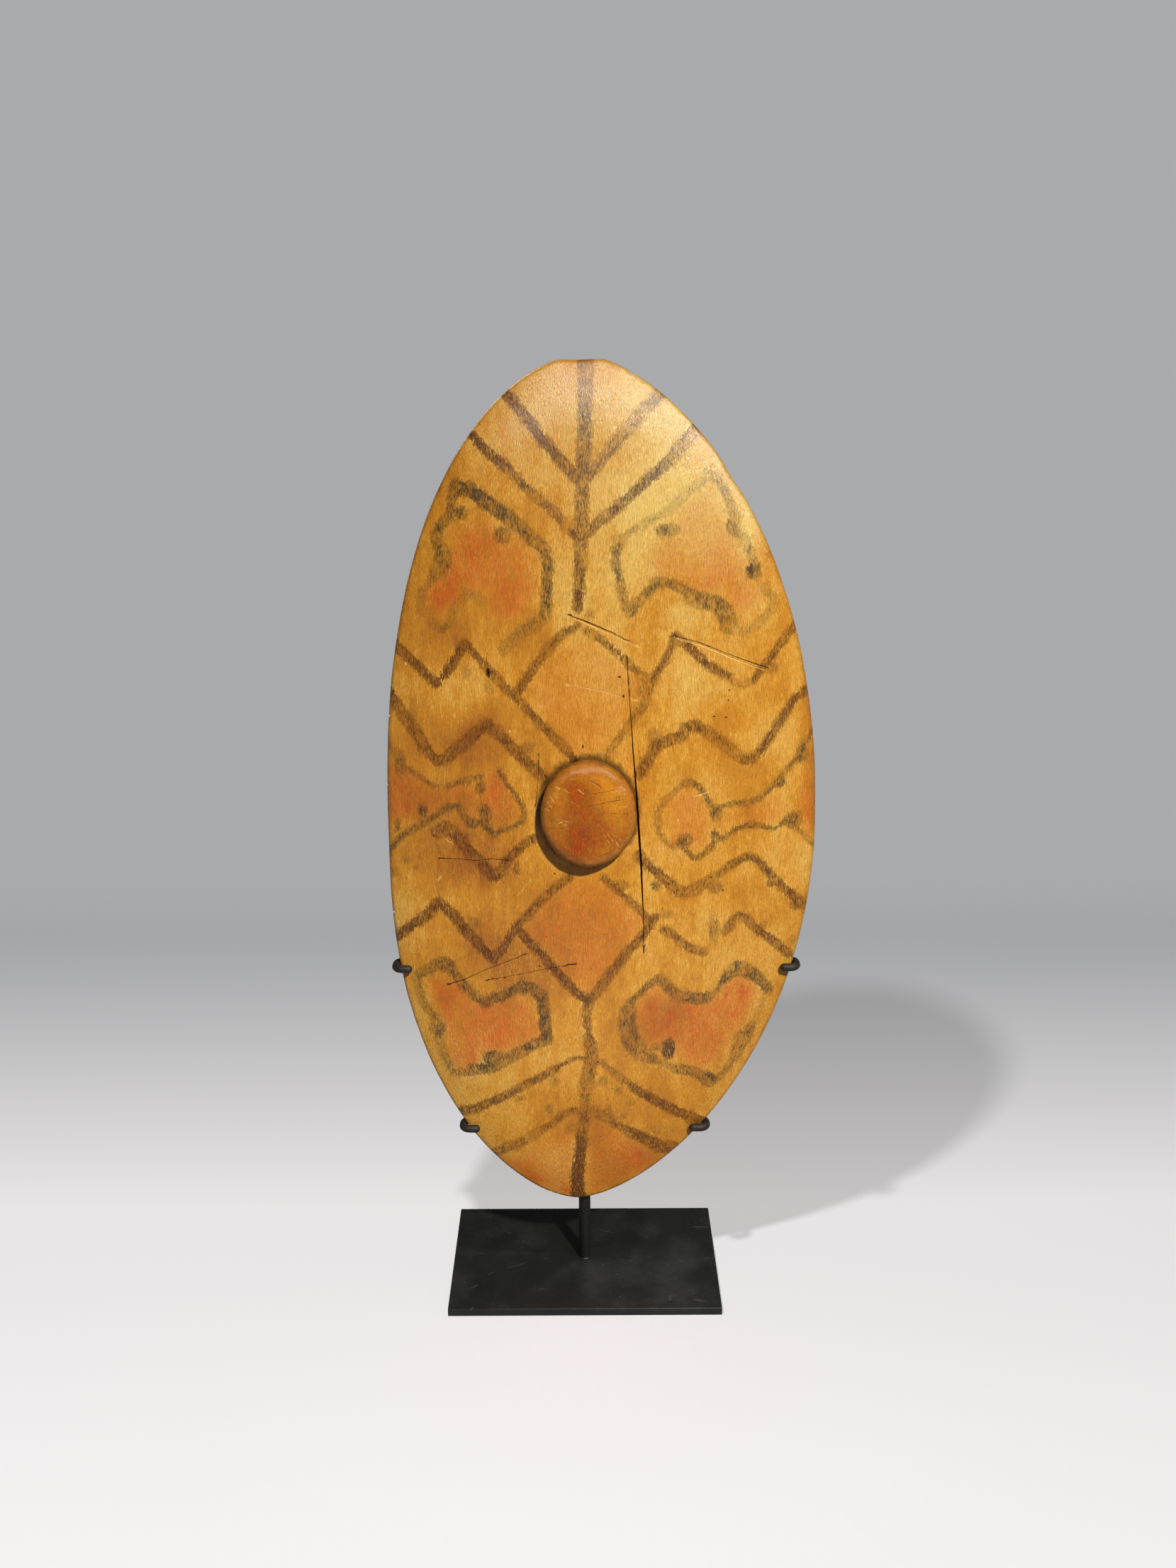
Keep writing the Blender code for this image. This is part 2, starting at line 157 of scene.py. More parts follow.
BROWN_STROKES = (
    # middle line, above and below the boss
    (13, 11, 0.85, ((4, 1006), (3, 940), (0, 870), (-2, 815), (-4, 771))),
    (15, 8, 0.6, ((5, 349), (3, 335), (3, 320), (5, 305))),
    (11, 15, 0.85, ((5, 305), (8, 290), (8, 278), (5, 262), (3, 248))),
    (15, 9, 0.5, ((3, 248), (1, 232), (1, 215))),
    (9, 11, 0.75, ((1, 215), (0, 200), (-3, 185))),
    (11, 18, 1.1, ((-3, 185), (-4, 170), (-6, 150), (-8, 130), (-8, 110), (-7, 97))),
    # two chevrons that rise from the middle line to the edge
    (10, 10, 1.0, ((-80, 985), (-64, 967), (-50, 950), (-38, 934), (-26, 921), (-14, 907), (-3, 896))),
    (12, 9, 0.75, ((80, 979), (62, 963), (48, 948), (36, 934), (24, 920), (12, 905), (4, 896))),
    (10, 10, 1.0, ((-112, 945), (-98, 928), (-86, 918), (-72, 907))),
    (9, 9, 0.75, ((-72, 907), (-58, 892), (-44, 880), (-30, 868))),
    (9, 9, 0.75, ((-30, 868), (-18, 854), (-6, 842))),
    (11, 10, 0.85, ((116, 948), (100, 931), (85, 914), (55, 887), (28, 864), (14, 853), (2, 842))),
    # upper zigzag, left and right, and the lower left side of the upper diamond
    (9, 9, 1.0, ((-194, 735), (-178, 722), (-165, 710), (-152, 697), (-147, 693), (-140, 700),
                 (-120, 731), (-116, 734))),
    (8, 9, 0.85, ((-116, 734), (-97, 712), (-75, 688), (-55, 668), (-45, 656), (-30, 640), (-15, 624),
                  (-8, 616))),
    (8, 8, 0.8, ((-5, 753), (-20, 745), (-35, 728), (-48, 712))),
    (8, 8, 0.9, ((-48, 712), (-58, 697), (-66, 684))),
    (8, 9, 0.70, ((5, 748), (20, 738), (35, 726), (48, 712), (58, 704), (68, 694))),
    (10, 8, 0.60, ((68, 694), (62, 672), (52, 660), (42, 645), (32, 632), (25, 620))),
    (9, 7, 0.8, ((68, 692), (74, 705), (82, 716), (89, 732), (92, 742))),
    (10, 9, 0.85, ((92, 742), (102, 735), (113, 725), (125, 713), (135, 707), (147, 700))),
    (8, 7, 0.5, ((147, 700), (155, 692), (162, 691), (172, 695))),
    (8, 8, 0.8, ((172, 695), (180, 707), (190, 718), (200, 733), (213, 749))),
    # second zigzag
    (11, 11, 0.9, ((-197, 684), (-188, 668), (-168, 638), (-158, 622), (-148, 612), (-140, 615),
                   (-115, 637), (-97, 652))),
    (11, 11, 0.85, ((-97, 652), (-88, 645), (-75, 632), (-62, 617), (-50, 606), (-40, 596))),
    (11, 12, 0.85, ((58, 600), (65, 612), (75, 630), (88, 635), (100, 640), (108, 650), (115, 650))),
    (11, 11, 0.7, ((115, 650), (125, 645), (135, 637), (148, 627), (155, 620), (165, 613), (172, 613))),
    (9, 9, 0.9, ((172, 613), (182, 622), (192, 638), (208, 663), (216, 675), (227, 683))),
    # third zigzag
    (12, 12, 0.9, ((-152, 535), (-143, 542), (-132, 533), (-122, 520), (-110, 508), (-100, 496),
                   (-93, 488))),
    (12, 10, 0.8, ((-93, 488), (-85, 495), (-78, 508), (-68, 518), (-58, 526), (-50, 532))),
    (11, 11, 0.85, ((58, 512), (65, 502), (75, 495), (85, 485), (95, 475), (103, 470), (115, 472),
                    (125, 478))),
    (8, 8, 0.6, ((125, 478), (132, 485), (142, 490), (150, 497))),
    (9, 10, 0.85, ((150, 497), (160, 503), (172, 508), (182, 503), (190, 495), (200, 482), (210, 472),
                   (234, 448))),
    # fourth zigzag and the lower diamond
    (11, 11, 1.0, ((-202, 411), (-190, 423), (-165, 443), (-152, 458), (-135, 442), (-125, 428),
                   (-105, 405), (-95, 395))),
    (10, 10, 0.85, ((-95, 395), (-88, 403), (-80, 415), (-72, 430))),
    (9, 9, 0.8, ((-72, 431), (-60, 445), (-50, 455), (-40, 467), (-28, 478), (-15, 488))),
    (10, 10, 1.0, ((-70, 430), (-60, 418), (-48, 405), (-38, 393), (-28, 380), (-15, 365), (-3, 352),
                   (5, 345))),
    (8, 8, 0.75, ((22, 487), (30, 479), (45, 466), (58, 452), (70, 440))),
    (9, 10, 0.9, ((75, 443), (68, 430), (48, 405), (38, 392), (28, 378), (20, 368), (12, 355), (5, 345))),
    (9, 9, 0.8, ((85, 428), (95, 422), (105, 412), (115, 405), (127, 401))),
    (9, 10, 0.85, ((150, 425), (158, 438), (165, 443), (172, 438), (182, 427), (193, 418), (203, 410),
                   (220, 393))),
    # two chevrons that fall from the middle line to the edge
    (12, 10, 0.85, ((-136, 207), (-120, 212), (-105, 221), (-80, 234))),
    (10, 9, 0.8, ((-80, 234), (-62, 247), (-45, 256), (-30, 266))),
    (8, 5, 0.7, ((-30, 266), (-18, 274), (-8, 279), (5, 279))),
    (6, 9, 0.6, ((10, 278), (22, 270), (35, 258), (50, 245))),
    (10, 13, 0.9, ((50, 245), (60, 236), (74, 226), (98, 212), (122, 197), (132, 190))),
    (11, 9, 0.8, ((-98, 156), (-85, 164), (-72, 170), (-50, 186))),
    (9, 8, 0.65, ((-50, 186), (-34, 198), (-24, 208), (-14, 214), (2, 212))),
    (10, 12, 0.6, ((8, 214), (22, 206), (35, 196), (50, 186))),
    (13, 16, 0.9, ((50, 186), (64, 178), (74, 171), (84, 163), (98, 160))),
)
BROWN_BLOTS = (
    # (x, z, width, height, strength)
    (8, 765, 10, 9, 0.5), (-12, 750, 12, 8, 0.7), (112, 648, 12, 8, 0.9), (197, 477, 10, 10, 0.8),
    (-94, 158, 12, 10, 0.6), (223, 410, 5, 10, 0.6), (-70, 497, 7, 13, 0.7), (92, 285, 12, 20, 0.6),
    (60, 690, 10, 26, 0.5), (-140, 538, 20, 14, 0.55), (166, 440, 14, 10, 0.5),
)
CHARCOAL_STROKES = (
    # field at the upper left
    (14, 14, 0.95, ((-122, 888), (-110, 887), (-98, 878), (-84, 868), (-72, 860))),
    (13, 12, 0.70, ((-72, 860), (-60, 850), (-48, 838), (-36, 827))),
    (10, 10, 0.9, ((-36, 827), (-34, 815), (-34, 795), (-35, 780), (-37, 763))),
    (13, 12, 0.45, ((-37, 763), (-45, 757), (-60, 747), (-70, 737), (-78, 730))),
    (9, 10, 0.75, ((-122, 888), (-128, 875), (-128, 862), (-140, 850), (-144, 838), (-138, 818),
                   (-148, 800))),
    (9, 8, 0.35, ((-148, 800), (-160, 785), (-160, 765))),
    (8, 8, 0.4, ((-150, 755), (-140, 748), (-132, 755), (-125, 775), (-112, 785), (-100, 778))),
    # field at the upper right, fainter
    (8, 8, 0.35, ((125, 903), (118, 893), (105, 885), (92, 873), (78, 862), (60, 853), (48, 846),
                  (38, 838))),
    (9, 8, 0.7, ((38, 838), (33, 828), (33, 812), (37, 800), (40, 785), (44, 770), (48, 765))),
    (8, 9, 0.8, ((48, 765), (56, 777), (66, 788), (76, 796), (86, 795), (98, 790), (110, 782))),
    (14, 17, 0.8, ((108, 781), (122, 776), (134, 774), (142, 765), (147, 752))),
    (9, 9, 0.3, ((147, 752), (160, 745), (175, 750), (182, 760), (192, 770), (190, 780), (180, 790))),
    (9, 9, 0.55, ((125, 903), (138, 888), (145, 873), (150, 858), (150, 845), (160, 838), (166, 825),
                  (172, 803))),
    # field at the left middle
    (4, 4, 0.7, ((-203, 634), (-190, 612), (-175, 600), (-160, 590), (-150, 585))),
    (5, 5, 0.75, ((-140, 585), (-128, 590), (-115, 594), (-103, 597))),
    (6, 5, 0.75, ((-86, 603), (-78, 590), (-70, 578), (-64, 570), (-60, 558), (-62, 550), (-70, 545),
                  (-92, 535))),
    (6, 6, 0.8, ((-205, 510), (-195, 522), (-188, 530), (-180, 535), (-160, 548), (-150, 555),
                 (-140, 563), (-130, 565))),
    (6, 6, 0.8, ((-130, 565), (-122, 553), (-115, 545), (-105, 548), (-98, 540), (-92, 535))),
    # field at the right middle
    (5, 5, 0.65, ((103, 588), (95, 582), (85, 572), (78, 562), (76, 550), (78, 537), (85, 527),
                  (93, 520))),
    (6, 6, 0.8, ((103, 588), (110, 591), (120, 585), (126, 576), (133, 562))),
    (5, 5, 0.8, ((133, 562), (145, 565), (158, 567), (170, 566), (180, 570), (190, 577), (200, 588),
                 (208, 597))),
    (5, 5, 0.75, ((208, 597), (215, 607), (222, 615), (230, 630), (236, 640))),
    (5, 6, 0.8, ((93, 520), (100, 525), (108, 515), (116, 507), (125, 512), (133, 520), (137, 532),
                 (145, 528))),
    (5, 5, 0.8, ((145, 528), (152, 535), (162, 540), (172, 543), (185, 541), (198, 537), (208, 543),
                 (217, 552))),
    (5, 5, 0.6, ((217, 552), (225, 535), (235, 523), (242, 516))),
    # field at the lower left
    (11, 11, 0.7, ((-178, 372), (-165, 380), (-155, 388), (-148, 391), (-140, 380), (-130, 366),
                   (-113, 348), (-105, 343))),
    (11, 12, 0.75, ((-105, 343), (-97, 349), (-88, 350), (-75, 360), (-65, 366), (-55, 362), (-45, 352))),
    (12, 13, 0.95, ((-45, 352), (-43, 335), (-42, 318), (-40, 302))),
    (13, 15, 0.75, ((-40, 300), (-52, 296), (-65, 288), (-78, 280), (-90, 272), (-100, 266),
                    (-122, 262))),
    (11, 11, 0.45, ((-178, 372), (-178, 355), (-170, 335), (-160, 320), (-158, 300), (-155, 285),
                    (-143, 257), (-122, 258))),
    # field at the lower right
    (7, 10, 0.7, ((55, 350), (64, 360), (74, 369), (80, 371))),
    (12, 12, 0.7, ((80, 371), (90, 362), (98, 354), (106, 350))),
    (14, 14, 0.8, ((112, 349), (122, 347), (132, 349))),
    (9, 8, 0.45, ((132, 349), (141, 355), (148, 366))),
    (11, 17, 0.7, ((148, 366), (155, 375), (165, 382))),
    (17, 10, 0.8, ((165, 382), (180, 374), (190, 364), (198, 353))),
    (7, 14, 0.6, ((56, 352), (50, 344), (47, 334))),
    (17, 20, 0.75, ((47, 334), (46, 320), (49, 304), (54, 293))),
    (20, 13, 0.7, ((54, 293), (62, 283), (74, 276))),
    (9, 9, 0.35, ((78, 273), (90, 268), (100, 263))),
    (13, 12, 0.7, ((102, 263), (112, 261), (124, 256))),
    (12, 16, 0.85, ((124, 256), (132, 250), (138, 246))),
    (10, 8, 0.5, ((140, 245), (148, 249), (156, 259))),
    (9, 14, 0.45, ((156, 259), (163, 272), (168, 282))),
    (16, 11, 0.65, ((168, 284), (175, 296), (182, 312))),
    (7, 6, 0.35, ((183, 314), (189, 327), (194, 342))),
)
CHARCOAL_BLOTS = (
    (-120, 864, 16, 14, 0.7), (-138, 818, 18, 30, 0.7), (-78, 843, 16, 15, 0.75), (82, 847, 22, 10, 0.8),
    (148, 850, 12, 18, 0.8), (170, 807, 12, 15, 1.5), (75, 796, 14, 11, 0.6), (-188, 607, 11, 22, 0.7),
    (-120, 591, 12, 9, 0.5), (-105, 585, 11, 14, 0.7), (-193, 540, 6, 12, 0.8), (-166, 558, 10, 15, 0.8),
    (-115, 547, 13, 11, 0.8), (-101, 557, 12, 22, 0.75), (137, 557, 14, 18, 0.6), (203, 587, 13, 11, 0.8),
    (225, 617, 12, 24, 0.7), (106, 528, 18, 14, 0.65), (136, 532, 10, 13, 0.8), (218, 545, 17, 19, 0.8),
    (-158, 310, 19, 24, 0.6), (-98, 276, 26, 24, 0.7), (-147, 387, 18, 16, 1.1), (-95, 350, 14, 13, 0.8),
    (-65, 362, 24, 15, 0.8), (-175, 370, 6, 6, 1.0), (92, 288, 15, 22, 1.1), (78, 290, 10, 9, 0.6),
    (110, 263, 13, 10, 0.7), (137, 250, 16, 14, 0.95), (172, 300, 18, 13, 0.6), (165, 280, 12, 10, 0.6),
    (-173, 665, 7, 20, 0.3), (-200, 490, 7, 11, 0.5), (-185, 503, 9, 8, 0.4), (-175, 495, 8, 7, 0.35),
    (-38, 215, 9, 13, 0.5), (-70, 228, 12, 7, 0.5), (-33, 250, 9, 11, 0.5), (38, 238, 9, 9, 0.5),
    (42, 205, 10, 9, 0.45), (80, 185, 10, 8, 0.4), (20, 250, 10, 14, 0.35), (-15, 190, 12, 10, 0.35),
    (28, 214, 8, 12, 0.4), (52, 222, 8, 6, 0.4), (-57, 628, 13, 12, 0.4), (192, 708, 11, 12, 0.55),
    (73, 640, 13, 15, 0.45), (-115, 436, 15, 13, 0.4), (40, 478, 14, 12, 0.6), (88, 446, 12, 9, 0.45),
    (75, 478, 13, 11, 0.6), (138, 475, 14, 13, 0.65), (225, 452, 12, 15, 0.7), (137, 428, 10, 27, 0.6),
    (190, 430, 12, 9, 0.4), (-116, 706, 9, 16, 0.3), (-95, 692, 8, 20, 0.35),
)
RED_FIELDS = (
    # (softness, strength, outline)
    (12, 0.43, ((-118, 850), (-100, 858), (-85, 845), (-62, 838), (-48, 820), (-45, 790), (-55, 765),
                (-70, 760), (-90, 768), (-100, 785), (-118, 790), (-130, 770), (-148, 763), (-155, 785),
                (-135, 805), (-125, 830))),
    (12, 0.30, ((125, 885), (140, 850), (158, 820), (175, 785), (168, 770), (155, 762), (148, 775),
                (140, 790), (112, 785), (98, 800), (80, 803), (65, 815), (72, 830), (90, 840), (95, 860),
                (108, 875))),
    (10, 0.45, ((-205, 545), (-165, 552), (-150, 562), (-130, 570), (-110, 560), (-92, 545), (-76, 548),
                (-70, 562), (-84, 600), (-95, 603), (-105, 580), (-125, 588), (-150, 583), (-165, 590),
                (-180, 603), (-202, 605))),
    (10, 0.36, ((90, 520), (128, 520), (128, 562), (118, 582), (100, 580), (90, 565))),
    (9, 0.16, ((140, 535), (165, 546), (200, 545), (215, 556), (205, 572), (185, 562), (155, 560),
               (140, 556))),
    (9, 0.34, ((222, 560), (238, 530), (246, 540), (246, 585), (228, 590))),
    (9, 0.45, ((-165, 370), (-145, 368), (-130, 362), (-118, 345), (-90, 345), (-75, 350), (-60, 345),
               (-52, 330), (-45, 305), (-65, 292), (-85, 285), (-112, 282), (-115, 268), (-135, 262),
               (-148, 280), (-152, 325))),
    (11, 0.46, ((68, 360), (85, 358), (98, 345), (138, 343), (150, 360), (165, 372), (178, 365),
                (185, 350), (170, 315), (160, 300), (145, 270), (128, 262), (112, 268), (98, 292),
                (70, 295), (58, 305), (55, 330))),
    (12, 0.22, ((2, 742), (25, 728), (45, 708), (60, 690), (45, 662), (25, 636), (5, 622), (-12, 632),
                (-38, 662), (-58, 688), (-35, 715))),
    (12, 0.40, ((18, 484), (45, 462), (66, 440), (40, 400), (20, 375), (4, 354), (-20, 380), (-60, 430),
                (-38, 462), (-12, 482))),
    (15, 0.15, ((-55, 985), (-40, 1002), (-8, 1005), (-6, 940), (-30, 945))),
    (10, 0.34, ((-88, 142), (-50, 112), (-14, 100), (-14, 195), (-32, 186), (-60, 163))),
    (10, 0.42, ((6, 102), (45, 120), (84, 148), (62, 168), (32, 188), (6, 200))),
)
RED_PATCHES = (
    # (x, z, reach, strength)
    (-140, 785, 18, 0.3), (-75, 775, 16, 0.3), (-110, 830, 16, 0.2), (118, 790, 12, 0.08),
    (152, 785, 16, 0.22), (-150, 345, 12, 0.25), (-130, 270, 12, 0.25), (-95, 315, 16, 0.2),
    (165, 350, 16, 0.25), (95, 330, 20, 0.2), (-190, 575, 18, 0.2), (-88, 585, 10, 0.3),
    (180, 552, 12, 0.3), (235, 555, 12, 0.2), (-68, 135, 10, 0.15), (-58, 118, 8, 0.5),
    (-20, 106, 8, 0.5), (-180, 628, 14, 0.2), (60, 150, 14, 0.35), (-85, 150, 9, 0.4),
)
TONED_AND_LIT_AREAS = (
    # Partly real wear and patina, partly painted light: a painted sheen at the top right, painted shade down
    # the left side and the right edge.
    # (x, z, width, height, tone) of broad areas of the ground, paler and yellower above 0, browner below it
    # top, and down the right side
    (55, 970, 90, 60, 0.80), (105, 915, 80, 70, 0.65), (50, 880, 80, 50, 0.70), (-30, 960, 60, 70, 0.40),
    (-75, 930, 60, 70, 0.08), (-115, 900, 60, 100, -0.25), (120, 850, 70, 70, 0.72),
    (35, 805, 50, 80, 0.50), (-15, 800, 30, 70, 0.25), (120, 765, 60, 24, 0.40),
    (190, 722, 50, 30, -0.08), (107, 690, 34, 46, 0.50), (205, 640, 34, 46, 0.45),
    (175, 665, 40, 60, -0.10), (165, 600, 70, 24, -0.28), (86, 575, 26, 70, 0.10),
    (115, 462, 44, 60, 0.12), (120, 392, 50, 26, 0.12), (215, 500, 34, 60, 0.15),
    (178, 470, 60, 36, -0.22), (175, 520, 50, 24, -0.15), (70, 405, 40, 50, 0.10),
    (180, 402, 50, 34, 0.05), (232, 690, 16, 110, -0.55), (238, 580, 14, 90, -0.30),
    (236, 500, 16, 50, 0.45), (110, 320, 70, 60, -0.38),
    # left side
    (-168, 780, 44, 130, -0.10), (-172, 700, 50, 70, 0.02), (-188, 640, 20, 60, 0.15),
    (-110, 730, 50, 34, -0.12), (-108, 690, 50, 40, 0.02), (-110, 632, 110, 40, -0.45),
    (-150, 560, 130, 60, -0.40), (-80, 570, 30, 60, -0.25), (-52, 582, 16, 30, 0.15),
    (-120, 500, 90, 50, -0.75), (-68, 478, 60, 40, -0.10), (-180, 445, 40, 60, 0.05),
    (-195, 480, 30, 80, 0.15), (-72, 392, 64, 60, -0.95), (-135, 738, 50, 40, -0.35),
    (-118, 420, 60, 44, -0.30), (-150, 400, 60, 40, -0.10), (-30, 330, 50, 90, -0.20),
    (-95, 660, 60, 34, -0.20), (-172, 320, 34, 110, -0.05), (-145, 238, 44, 60, 0.25),
    # foot of the board, and small areas elsewhere
    (-80, 225, 90, 50, 0.08), (-45, 158, 60, 36, 0.42), (12, 208, 90, 44, -0.35),
    (40, 165, 90, 50, -0.12), (75, 240, 70, 50, -0.25), (135, 210, 40, 60, 0.05), (0, 125, 90, 40, -0.20),
    (35, 320, 40, 60, -0.15), (30, 140, 60, 50, -0.30), (-60, 120, 50, 34, -0.05),
    (165, 845, 16, 70, 0.80), (-60, 745, 30, 30, -0.20), (0, 415, 60, 60, -0.35),
    (-10, 985, 60, 30, -0.10), (5, 735, 70, 50, 0.12), (50, 640, 50, 60, 0.02), (40, 470, 40, 40, -0.15),
)
BOSS_PATCHES = (
    # (x, z, reach, redness) on the boss, golden below 0
    (-3, 540, 8, 0.7), (-4, 528, 7, 0.6), (-4, 590, 10, 0.25), (8, 566, 12, 0.05), (33, 578, 11, -0.8),
    (34, 554, 11, -0.5), (-30, 562, 9, -0.25), (-26, 544, 8, -0.35), (14, 520, 12, -0.2),
    # The golden patch at (22, 598) on the next line is a painted highlight on the boss's upper right.
    (22, 598, 10, -0.7), (0, 604, 9, -0.5), (-26, 584, 9, -0.6), (14, 575, 8, -0.2), (30, 530, 8, -0.15),
)

# ---- cuts in the wood: (widths along it, depth, path) ----

# The cracks are coloured near-black inside: painted shade in the deep cracks, with dirt.
CRACKS = (
    ((0.5, 0.7, 1.1, 1.9, 2.6, 2.2, 1.3, 0.3), 7.0,
     ((44, 723), (45.5, 700), (47, 680), (49, 655), (51, 625), (54, 590), (56, 560), (58, 530), (60, 505),
      (61.5, 470), (63, 445), (63.5, 425), (63, 402))),
    ((0.3, 0.4, 0.3), 0.8, ((-44.5, 622), (-45.5, 600), (-47, 580), (-48.5, 566))),
    ((0.2, 1.7, 1.5, 0.8, 0.2), 2.0, ((-15, 764.5), (0, 759), (12, 754), (30, 746), (50, 736))),
    ((0.2, 0.8, 1.2, 0.7, 0.9, 1.1, 0.2), 1.6,
     ((90, 743), (115, 736), (138, 726.5), (160, 717.5), (187, 707.5))),
    ((0.6, 0.9, 0.7, 0.8, 0.5), 0.8, ((-152, 507), (-130, 507), (-110, 506), (-95, 508), (-78, 507))),
    ((1.2, 1.0, 0.6, 0.7, 0.4), 0.8, ((-145, 364), (-127, 370.5), (-103, 383), (-82, 392), (-60, 402))),
    ((0.4, 0.6, 0.6, 0.8, 0.6, 0.4), 0.8,
     ((-105, 370), (-85, 374), (-68, 378), (-50, 382), (-30, 386), (-8, 390.5))),
)
GOUGES = (
    ((0.8, 1.0, 1.9, 1.7, 1.3, 1.0), 0.8,
     ((-28, 769), (-12, 762.5), (3, 756), (20, 748.5), (38, 740), (58, 731))),
    ((0.8, 1.8, 1.9, 1.8, 1.0), 0.8, ((92, 740.5), (120, 732), (150, 719), (172, 710), (184, 705.5))),
    ((1.0, 0.8), 0.7, ((-143, 529), (-135, 524))),
    ((0.8, 0.6), 0.4, ((-45, 895), (-37, 890))),
    ((0.7, 0.6), 0.4, ((-152, 482), (-148, 488))),
    ((0.7, 0.6), 0.4, ((-55, 485), (-68, 468))),
    ((0.7, 0.6), 0.4, ((-195, 460), (-182, 472))),
)
SCRATCHES = (
    ((0.7, 1.1, 0.9, 0.7), 0.5, ((-17, 694), (10, 689), (35, 682), (55, 677))),
    ((1.0, 2.4, 1.0), 0.4, ((114, 575), (121, 577), (129, 580))),
)
BOSS_CUTS = (
    ((0.6, 0.4), 0.5, ((-19, 591), (-12, 587))),
    ((0.6, 0.4), 0.5, ((-27, 594), (-23, 591))),
    ((0.6, 0.4), 0.5, ((-5, 591), (1, 586.5))),
    ((0.55, 0.4), 0.45, ((-30, 587), (-26, 582))),
    ((0.55, 0.4), 0.45, ((-33, 583), (-28.5, 577))),
    ((0.55, 0.4), 0.45, ((-36, 577), (-31.5, 572))),
    ((0.6, 0.4), 0.5, ((-38, 570), (-35, 568))),
    ((0.5, 0.6, 0.4), 0.5, ((-27, 560), (-21, 558.5), (-15, 556.5))),
    ((0.5, 0.4), 0.4, ((-24, 556), (-17, 553))),
    ((0.55, 0.4), 0.45, ((21, 543), (27, 534))),
    ((0.55, 0.4), 0.45, ((25.5, 543), (31, 535))),
    ((0.55, 0.4), 0.45, ((30, 543), (39, 537))),
    ((0.5, 0.4), 0.4, ((33.5, 535), (37, 529))),
    ((0.5, 0.4), 0.4, ((-12, 578), (-5, 574))),
    ((0.5, 0.4), 0.4, ((38, 572), (44, 573))),
)
# Their dark colour is painted shade in the creases, with dirt.
BOSS_CREASES = (
    ((0.9, 1.8, 1.0), 0.8, ((5, 601), (12, 597), (19, 592.5))),
    ((0.6, 1.3, 0.7), 0.6, ((10, 586.5), (22, 588), (35, 591))),
    ((0.5, 1.4, 0.8), 0.6, ((2, 573), (15, 575), (29, 578), (41, 580))),
    ((0.8, 1.2, 0.7), 0.6, ((28, 566), (37, 564.5), (46, 565))),
    ((0.4, 0.7, 0.5), 0.4, ((-34, 549), (-27, 550), (-20, 550))),
    ((0.4, 0.9, 0.5), 0.5, ((17, 520), (24, 522), (30, 525))),
    ((0.4, 0.6, 0.4), 0.4, ((-30, 529), (-25, 523), (-18, 517))),
)
BOSS_SHAVED = (
    # (x, z, distance, slope) of the flats round the boss's face: towards where, how far out, how steep
    (0.50, 0.87, 36, 0.22), (-0.50, 0.87, 40, 0.18), (-1.0, 0.0, 34, 0.20), (-0.64, -0.77, 40, 0.22),
    (0.95, 0.30, 37, 0.15), (0.55, -0.83, 42, 0.18),
)
PITS = (
    # (x, z, width, height, depth) of small dark pits
    # Their dark colour is painted shade in the pits, with dirt.
    (-95, 704, 4.5, 12, 3.5), (37, 701, 4, 3, 1.2), (41, 681, 2.5, 4, 1.0), (-192, 683, 3, 2.5, 0.9),
    (148, 686, 2.5, 2, 0.8), (147, 676, 2, 2, 0.7), (133, 659, 3, 2.5, 0.9), (145, 658, 3, 2, 0.8),
    (0, 629, 1.8, 5, 1.0), (-30, 492, 2.5, 2.5, 0.8), (133, 486, 3, 2.5, 0.9), (146, 471, 2.5, 2.5, 0.8),
    (15, 273, 2.5, 3, 0.9), (-47, 387, 2.5, 2, 0.8), (173, 540, 4, 2.2, 1.2), (-9, 520, 2.2, 2, 0.8),
    (10, 225, 1.8, 1.8, 0.7), (22, 212, 1.6, 1.6, 0.7), (30, 192, 1.8, 1.6, 0.7),
    (18, 180, 1.6, 1.6, 0.6), (-22, 236, 1.6, 1.4, 0.6), (-16, 228, 1.4, 1.4, 0.6),
    (-10, 216, 1.6, 1.4, 0.6), (-1, 221, 1.4, 1.4, 0.6), (12, 233, 1.4, 1.4, 0.6),
    (26, 226, 1.4, 1.6, 0.6), (31, 240, 1.4, 1.4, 0.6), (-7, 243, 1.4, 1.2, 0.6),
)
CHIPS = (
    # (x, z, width, height, depth) of shallow chips that show pale wood
    (98, 550, 3.4, 5, 0.6), (-178, 713, 3.5, 4, 0.6), (-74, 646, 2.6, 3.6, 0.5), (-122, 656, 3, 2.6, 0.5),
    (-142, 697, 3, 4, 0.6), (-28, 778, 2.5, 4, 0.5), (-129, 661, 1.2, 7, 0.3), (-126, 655, 1.0, 6, 0.3),
    (108, 692, 1.4, 8, 0.3), (112, 664, 1.2, 6, 0.3), (-120, 588, 1.2, 5, 0.3), (-22, 556, 1.4, 1.6, 0.3),
    (118, 470, 1.2, 7, 0.3), (60, 742, 1.2, 6, 0.3), (-60, 905, 1.4, 3, 0.3), (30, 930, 1.2, 7, 0.3),
    (70, 905, 1.2, 8, 0.3), (150, 640, 1.2, 7, 0.3),
)
EDGE_NICKS = (
    # (x, z, radius) of small notches in the board's edge
    (48, 996, 2.0), (-170, 815, 1.6), (-198, 657, 1.8), (-203, 583, 1.6), (-201, 442, 2.2),
    (-38, 104, 1.8), (-30, 101, 1.6), (155, 888, 2.2),
)
FLAT_AT_EDGE = ((141, 910), (152, 886))
FLAT_DEPTH = 0.0022
FLAT_FALL = 1.6


# ---- settings that a user may change ----


def display(red, green, blue):
    """A colour given as it looks on a display, 0 to 255, in linear light."""
    shares = [level / 255 for level in (red, green, blue)]
    return tuple(((v + 0.055) / 1.055) ** 2.4 if v > 0.04 else v / 12.92 for v in shares)


